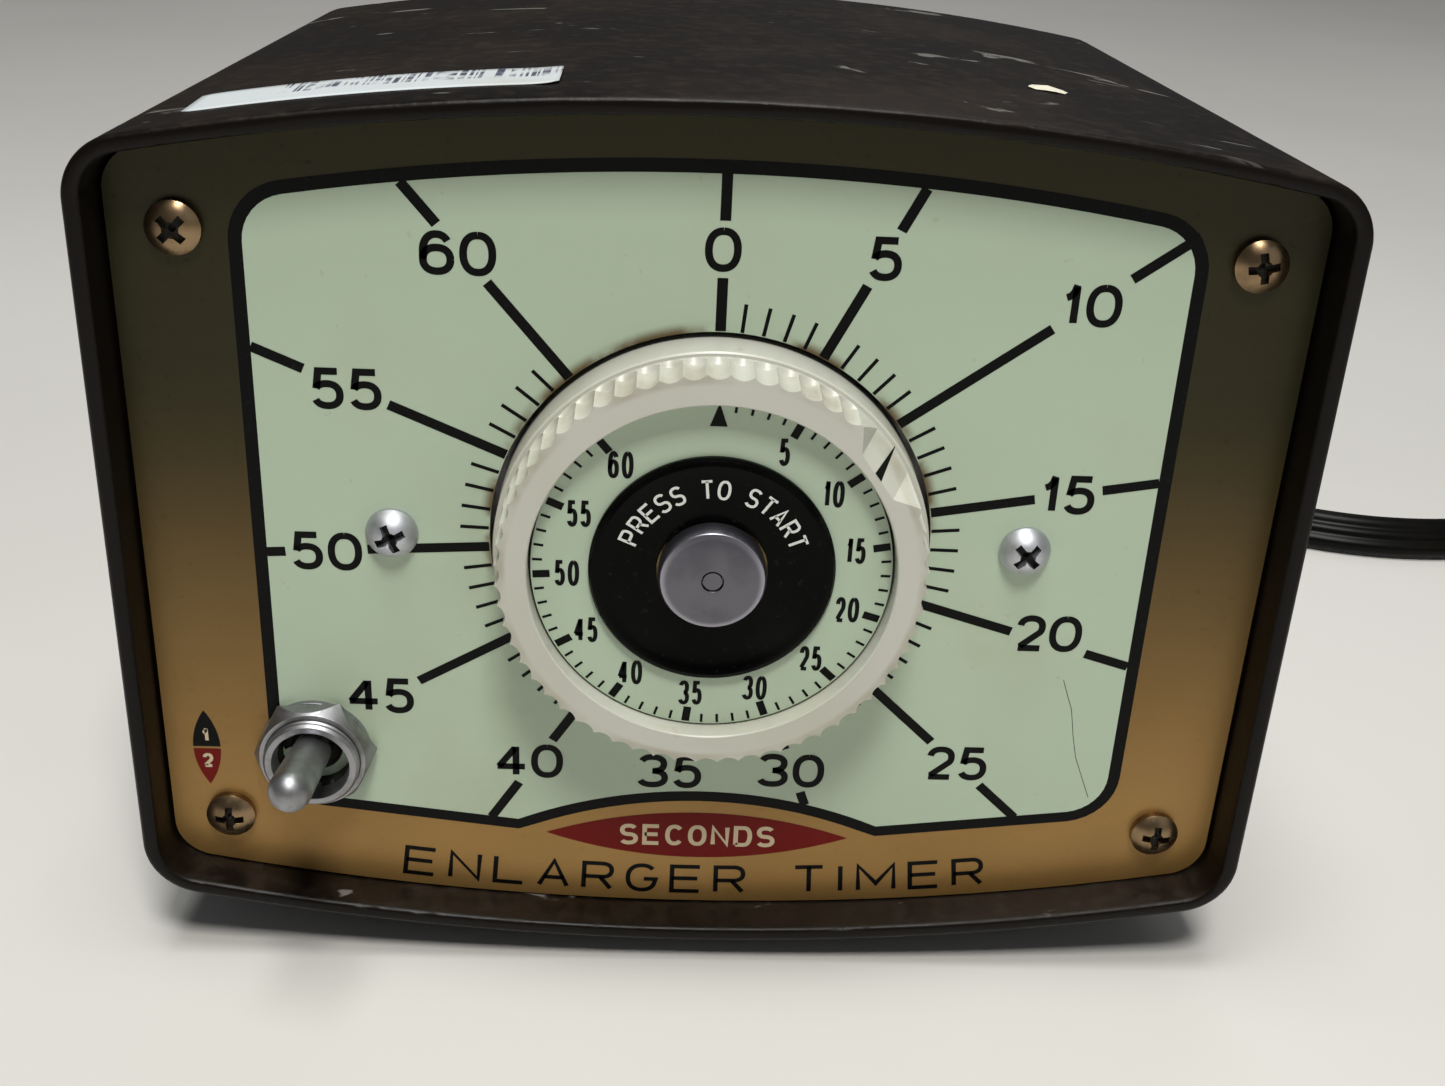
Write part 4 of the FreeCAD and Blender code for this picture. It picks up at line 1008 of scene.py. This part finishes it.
def make_pointer(materials):
    """Slim black triangle laid in the sloping floor of the ring's notch."""
    clockwise = SET_SECOND * DEGREES_PER_SECOND
    half_base = 0.62
    half_tip = 0.05
    above_floor = 0.04
    # Where the notch's floor starts and ends, as (radius, lift).
    inner = Vector((22.46, 10.0))
    outer = Vector((25.5, 4.7))
    along = (outer - inner).normalized()
    raised = Vector((-along.y, along.x)) * above_floor
    base = inner + along * 0.05 + raised
    tip = outer - along * 0.25 + raised
    bm = bmesh.new()
    verts = []
    for (radius, lift), side in ((base, -half_base), (base, half_base), (tip, half_tip), (tip, -half_tip)):
        verts.append(bm.verts.new((*on_dial(radius, clockwise, side), lift)))
    bm.faces.new(verts)
    print_piece(bm, "pointer_mark", materials["black_ink"], "set_ring")


# ---- Case top: label and flake ----

CASE_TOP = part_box("case_shell")[1][2]
CASE_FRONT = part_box("case_shell")[0][1]
CROWN_RADIUS = 0.340
CROWN_DRAFT = 0.033


def top_height(x, y):
    """Height of the case's crowned, drafted top."""
    return CASE_TOP - CROWN_DRAFT * (y - CASE_FRONT) - (CROWN_RADIUS - math.sqrt(CROWN_RADIUS ** 2 - x * x))


LABEL_LEFT = -0.0592
LABEL_RIGHT = -0.0185
LABEL_FRONT = -0.0355
LABEL_BACK = -0.0247
LABEL_CORNER = 0.0016
LABEL_THICKNESS = 0.00009
GLUE_THICKNESS = 0.00004
LOOSE_LENGTH = 0.004
LOOSE_LIFT = 0.00025


def label_point(across, back):
    """Point of the label, at two fractions of its size, laid on the case's top."""
    x = LABEL_LEFT + (LABEL_RIGHT - LABEL_LEFT) * across
    y = LABEL_FRONT + (LABEL_BACK - LABEL_FRONT) * back
    inset_x = max(0.0, LABEL_CORNER - min(x - LABEL_LEFT, LABEL_RIGHT - x))
    inset_y = max(0.0, LABEL_CORNER - min(y - LABEL_FRONT, LABEL_BACK - y))
    pull = max(0.0, math.hypot(inset_x, inset_y) - LABEL_CORNER)
    y += pull if back < 0.5 else -pull
    lifting = LOOSE_LIFT * max(0.0, (x - LABEL_RIGHT + LOOSE_LENGTH) / LOOSE_LENGTH) ** 2
    return x, y, top_height(x, y) + GLUE_THICKNESS + lifting


def make_label(materials):
    """Thin paper label on the top near the front, its corners rounded and one end lifting slightly."""
    columns = 40
    rows = 8
    bm = bmesh.new()
    grid = []
    for row in range(rows + 1):
        places = [label_point(column / columns, row / rows) for column in range(columns + 1)]
        grid.append([bm.verts.new(place) for place in places])
    for low, high in zip(grid, grid[1:]):
        for column in range(columns):
            bm.faces.new((low[column], low[column + 1], high[column + 1], high[column]))
    mesh = finished_mesh(bm, "top_label", Matrix.Identity(4), True)
    piece = mesh_piece("top_label", mesh, materials["label"], "case")
    solid = piece.modifiers.new("thickness", "SOLIDIFY")
    solid.thickness = LABEL_THICKNESS
    solid.offset = 1.0


def make_flake(materials):
    """Small pale flake stuck to the top."""
    rng = random.Random(4)
    centre_x = 0.0387
    centre_y = -0.0155
    half_width = 0.0027
    half_depth = 0.0022
    height = 0.0005
    corners = 14
    bm = bmesh.new()
    top = []
    for index in range(corners):
        angle = 2 * math.pi * index / corners
        reach = rng.uniform(0.75, 1.1)
        x = centre_x + half_width * reach * math.cos(angle)
        y = centre_y + half_depth * reach * math.sin(angle)
        top.append(bm.verts.new((x, y, top_height(x, y) + rng.uniform(0.00006, 0.00022))))
    middle = bm.verts.new((centre_x, centre_y, top_height(centre_x, centre_y) + height))
    for first, second in zip(top, top[1:] + top[:1]):
        bm.faces.new((first, second, middle))
    mesh = finished_mesh(bm, "top_flake", Matrix.Identity(4))
    mesh_piece("top_flake", mesh, materials["chip"], "case")


# ---- Lead, boot and plug ----

def clamp(value):
    return min(1.0, max(0.0, value))


def coil_points():
    """Two layers: in from the outside along the surface, up at the middle, and out again on top."""
    per_turn = 14
    count = int(COIL_TURNS * per_turn)
    climb_start, climb_end = 0.46, 0.58
    innermost = COIL_OUTER - COIL_TIGHTEN * COIL_TURNS * climb_start
    points = []
    for index in range(2, count + 1):
        turns = COIL_TURNS * index / count
        share = index / count
        inward = COIL_OUTER - COIL_TIGHTEN * turns
        outward = COIL_OUTER - COIL_TIGHTEN * (COIL_TURNS - turns)
        radius = max(innermost, inward, outward) * COIL_CUT_IN
        rise = clamp((share - climb_start) / (climb_end - climb_start))
        angle = math.radians(90) - 2 * math.pi * turns
        z = COIL_LOW + (COIL_HIGH - COIL_LOW) * rise
        points.append((COIL_X + radius * math.cos(angle), COIL_Y + radius * math.sin(angle), z))
    return points + [(x, y, COIL_HIGH) for x, y in COIL_TAIL]


def route_line():
    """Points read from one smooth spline through the route and the coil."""
    data = bpy.data.curves.new("route", "CURVE")
    data.dimensions = "3D"
    spline = add_spline(data, "NURBS", ROUTE + coil_points())
    spline.order_u = 3
    spline.use_endpoint_u = True
    spline.resolution_u = 6
    mesh = evaluated_mesh(data)
    line = [vertex.co.copy() for vertex in mesh.vertices]
    bpy.data.meshes.remove(mesh)
    return line


def lead_section():
    """Outline of three round cores side by side, as (across, through) pairs."""
    offset = LEAD_WIDTH / 2 - LEAD_LOBE
    outline = []
    steps = 40
    for index in range(steps):
        angle = 2 * math.pi * index / steps
        ray = Vector((math.cos(angle), math.sin(angle)))
        reach = 0.0
        for centre in (-offset, 0.0, offset):
            along = ray.x * centre
            gap = centre ** 2 - along ** 2
            if gap < LEAD_LOBE ** 2:
                reach = max(reach, along + math.sqrt(LEAD_LOBE ** 2 - gap))
        outline.append((ray.x * reach, ray.y * reach))
    return outline


def lead_roll(place):
    """How far the flat lead stands up on its edge: upright in the coil, leaning back where it is seen."""
    if place.y < LEAN_BEHIND_Y:
        return math.radians(90)
    lean_in = clamp((place.x - LEAN_START) / LEAN_START_LENGTH)
    lean_out = clamp((LEAN_END - place.x) / LEAN_END_LENGTH)
    return math.radians(90 - LEAN_DEGREES * lean_in * lean_out)


def lead_axes(line, index):
    """The directions across the flat lead and through it, at one point of its line."""
    ahead = line[min(index + 1, len(line) - 1)]
    behind = line[max(index - 1, 0)]
    tangent = (ahead - behind).normalized()
    side = Vector((0, 0, 1)).cross(tangent).normalized()
    above = tangent.cross(side)
    roll = lead_roll(line[index])
    wide = side * math.cos(roll) + above * math.sin(roll)
    thin = above * math.cos(roll) - side * math.sin(roll)
    return wide, thin


def lead_mesh(line):
    """The flat lead's skin: its section carried along its line, with both ends closed."""
    section = lead_section()
    bm = bmesh.new()
    rings = []
    for index, place in enumerate(line):
        wide, thin = lead_axes(line, index)
        rings.append([bm.verts.new(place + wide * across + thin * through) for across, through in section])
    for first, second in zip(rings, rings[1:]):
        for index in range(len(section)):
            after = (index + 1) % len(section)
            bm.faces.new((first[index], first[after], second[after], second[index]))
    bm.faces.new(rings[0][::-1])
    bm.faces.new(rings[-1])
    return finished_mesh(bm, "flat_lead", Matrix.Identity(4), True)


def make_lead(materials):
    line = route_line()
    piece = mesh_piece("flat_lead", lead_mesh(line), materials["lead"], "case")
    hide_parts("power_cord", "power_cord_coil")


# ---- CAD nodes' materials ----

NODE_MATERIALS = {
    "case": ["case_shell"],
    "panel": ["front_panel"],
    "bronze": ["corner_screws"],
    "zinc": ["movement_screws"],
    "steel": ["panel_spacers", "movement_nuts", "foot_screws", "dial_arbor", "front_plate", "rear_plate",
              "plate_pillars", "pillar_screws", "second_pinion", "second_arbor", "motor_pinion",
              "motor_shaft", "motor_gearbox", "motor_can", "motor_screws", "trip_lever", "trip_pin",
              "switch_bracket", "snap_switch_screws"],
    "rubber": ["rubber_feet", "strain_relief", "plug_body"],
    "ivory": ["set_ring"],
    "brass": ["front_bushing", "dial_hub", "rear_bushing", "drive_wheel", "second_wheel",
              "reset_spring_cup", "snap_switch_terminals", "toggle_terminals", "outlet_contacts",
              "plug_pins"],
    "blued": ["ring_clip", "friction_washer", "reset_spring"],
    "mint": ["elapsed_dial"],
    "cap": ["centre_cap"],
    "turned": ["start_button", "push_rod"],
    "phenolic": ["snap_switch", "toggle_body"],
    "nylon": ["snap_plunger"],
    "nickel": ["toggle_bushing", "toggle_washers", "toggle_nut", "toggle_lever"],
    "outlet": ["enlarger_outlet", "safelight_outlet"],
    "lead": ["power_cord", "power_cord_coil"],
}


def finish_cad_nodes(materials):
    for key, names in NODE_MATERIALS.items():
        for name in names:
            for slot in frame["nodes"][name].material_slots:
                slot.material = materials[key]


# ---- Camera, floor and light ----

def make_camera():
    data = bpy.data.cameras.new("camera")
    data.lens = CAMERA_LENS
    data.sensor_width = SENSOR_WIDTH
    data.clip_start = 0.01
    camera = show(bpy.data.objects.new("camera", data))
    heading = Matrix.Rotation(math.radians(-CAMERA_HEADING), 4, "Z")
    drop = Matrix.Rotation(math.radians(90 - CAMERA_DROP), 4, "X")
    roll = Matrix.Rotation(math.radians(CAMERA_ROLL), 4, "Z")
    camera.matrix_world = Matrix.Translation(CAMERA_PLACE) @ heading @ drop @ roll
    bpy.context.scene.camera = camera


def make_floor(materials):
    half = 6.0
    corners = [(-half, -half, 0), (half, -half, 0), (half, half, 0), (-half, half, 0)]
    mesh = bpy.data.meshes.new("floor")
    mesh.from_pydata(corners, [], [(0, 1, 2, 3)])
    mesh.materials.append(materials["floor"])
    floor = show(bpy.data.objects.new("floor", mesh))


def add_light(name, place, target, size, power, color=(1, 1, 1)):
    data = bpy.data.lights.new(name, "AREA")
    data.size = size
    data.energy = power
    data.color = color
    light = show(bpy.data.objects.new(name, data))
    aim = Vector(target) - Vector(place)
    light.matrix_world = Matrix.Translation(place) @ aim.to_track_quat("-Z", "Y").to_matrix().to_4x4()


def make_lights():
    face = (0, 0, 0.06)
    middle = (0, 0, 0.05)
    add_light("key", (0.04, -0.47, 0.88), face, size=0.20, power=6.0, color=(1.0, 0.985, 0.94))
    add_light("overhead", (-0.05, -0.15, 1.05), face, size=0.36, power=5.4, color=(0.98, 1.0, 0.98))
    add_light("fill", (0.70, -0.75, 0.45), middle, size=0.70, power=0.6, color=(0.95, 0.98, 1.0))
    add_light("back", (0.25, 0.75, 1.00), middle, size=0.60, power=1.3)
    world = bpy.data.worlds.new("world")
    world.use_nodes = True
    background = world.node_tree.nodes["Background"]
    background.inputs["Color"].default_value = (0.82, 0.86, 0.90, 1)
    background.inputs["Strength"].default_value = 0.085
    bpy.context.scene.world = world
    bpy.context.scene.view_settings.view_transform = "Standard"


def main():
    materials = make_materials()
    make_camera()
    make_floor(materials)
    make_lights()
    finish_cad_nodes(materials)
    redrawn = redraw_nodes(materials)
    make_lead(materials)
    make_face(materials)
    make_badge(materials)
    make_wordmark(materials)
    make_hairline(materials)
    make_dial_print(materials)
    make_cap_print(materials)
    make_pointer(materials)
    make_label(materials)
    make_flake(materials)


main()
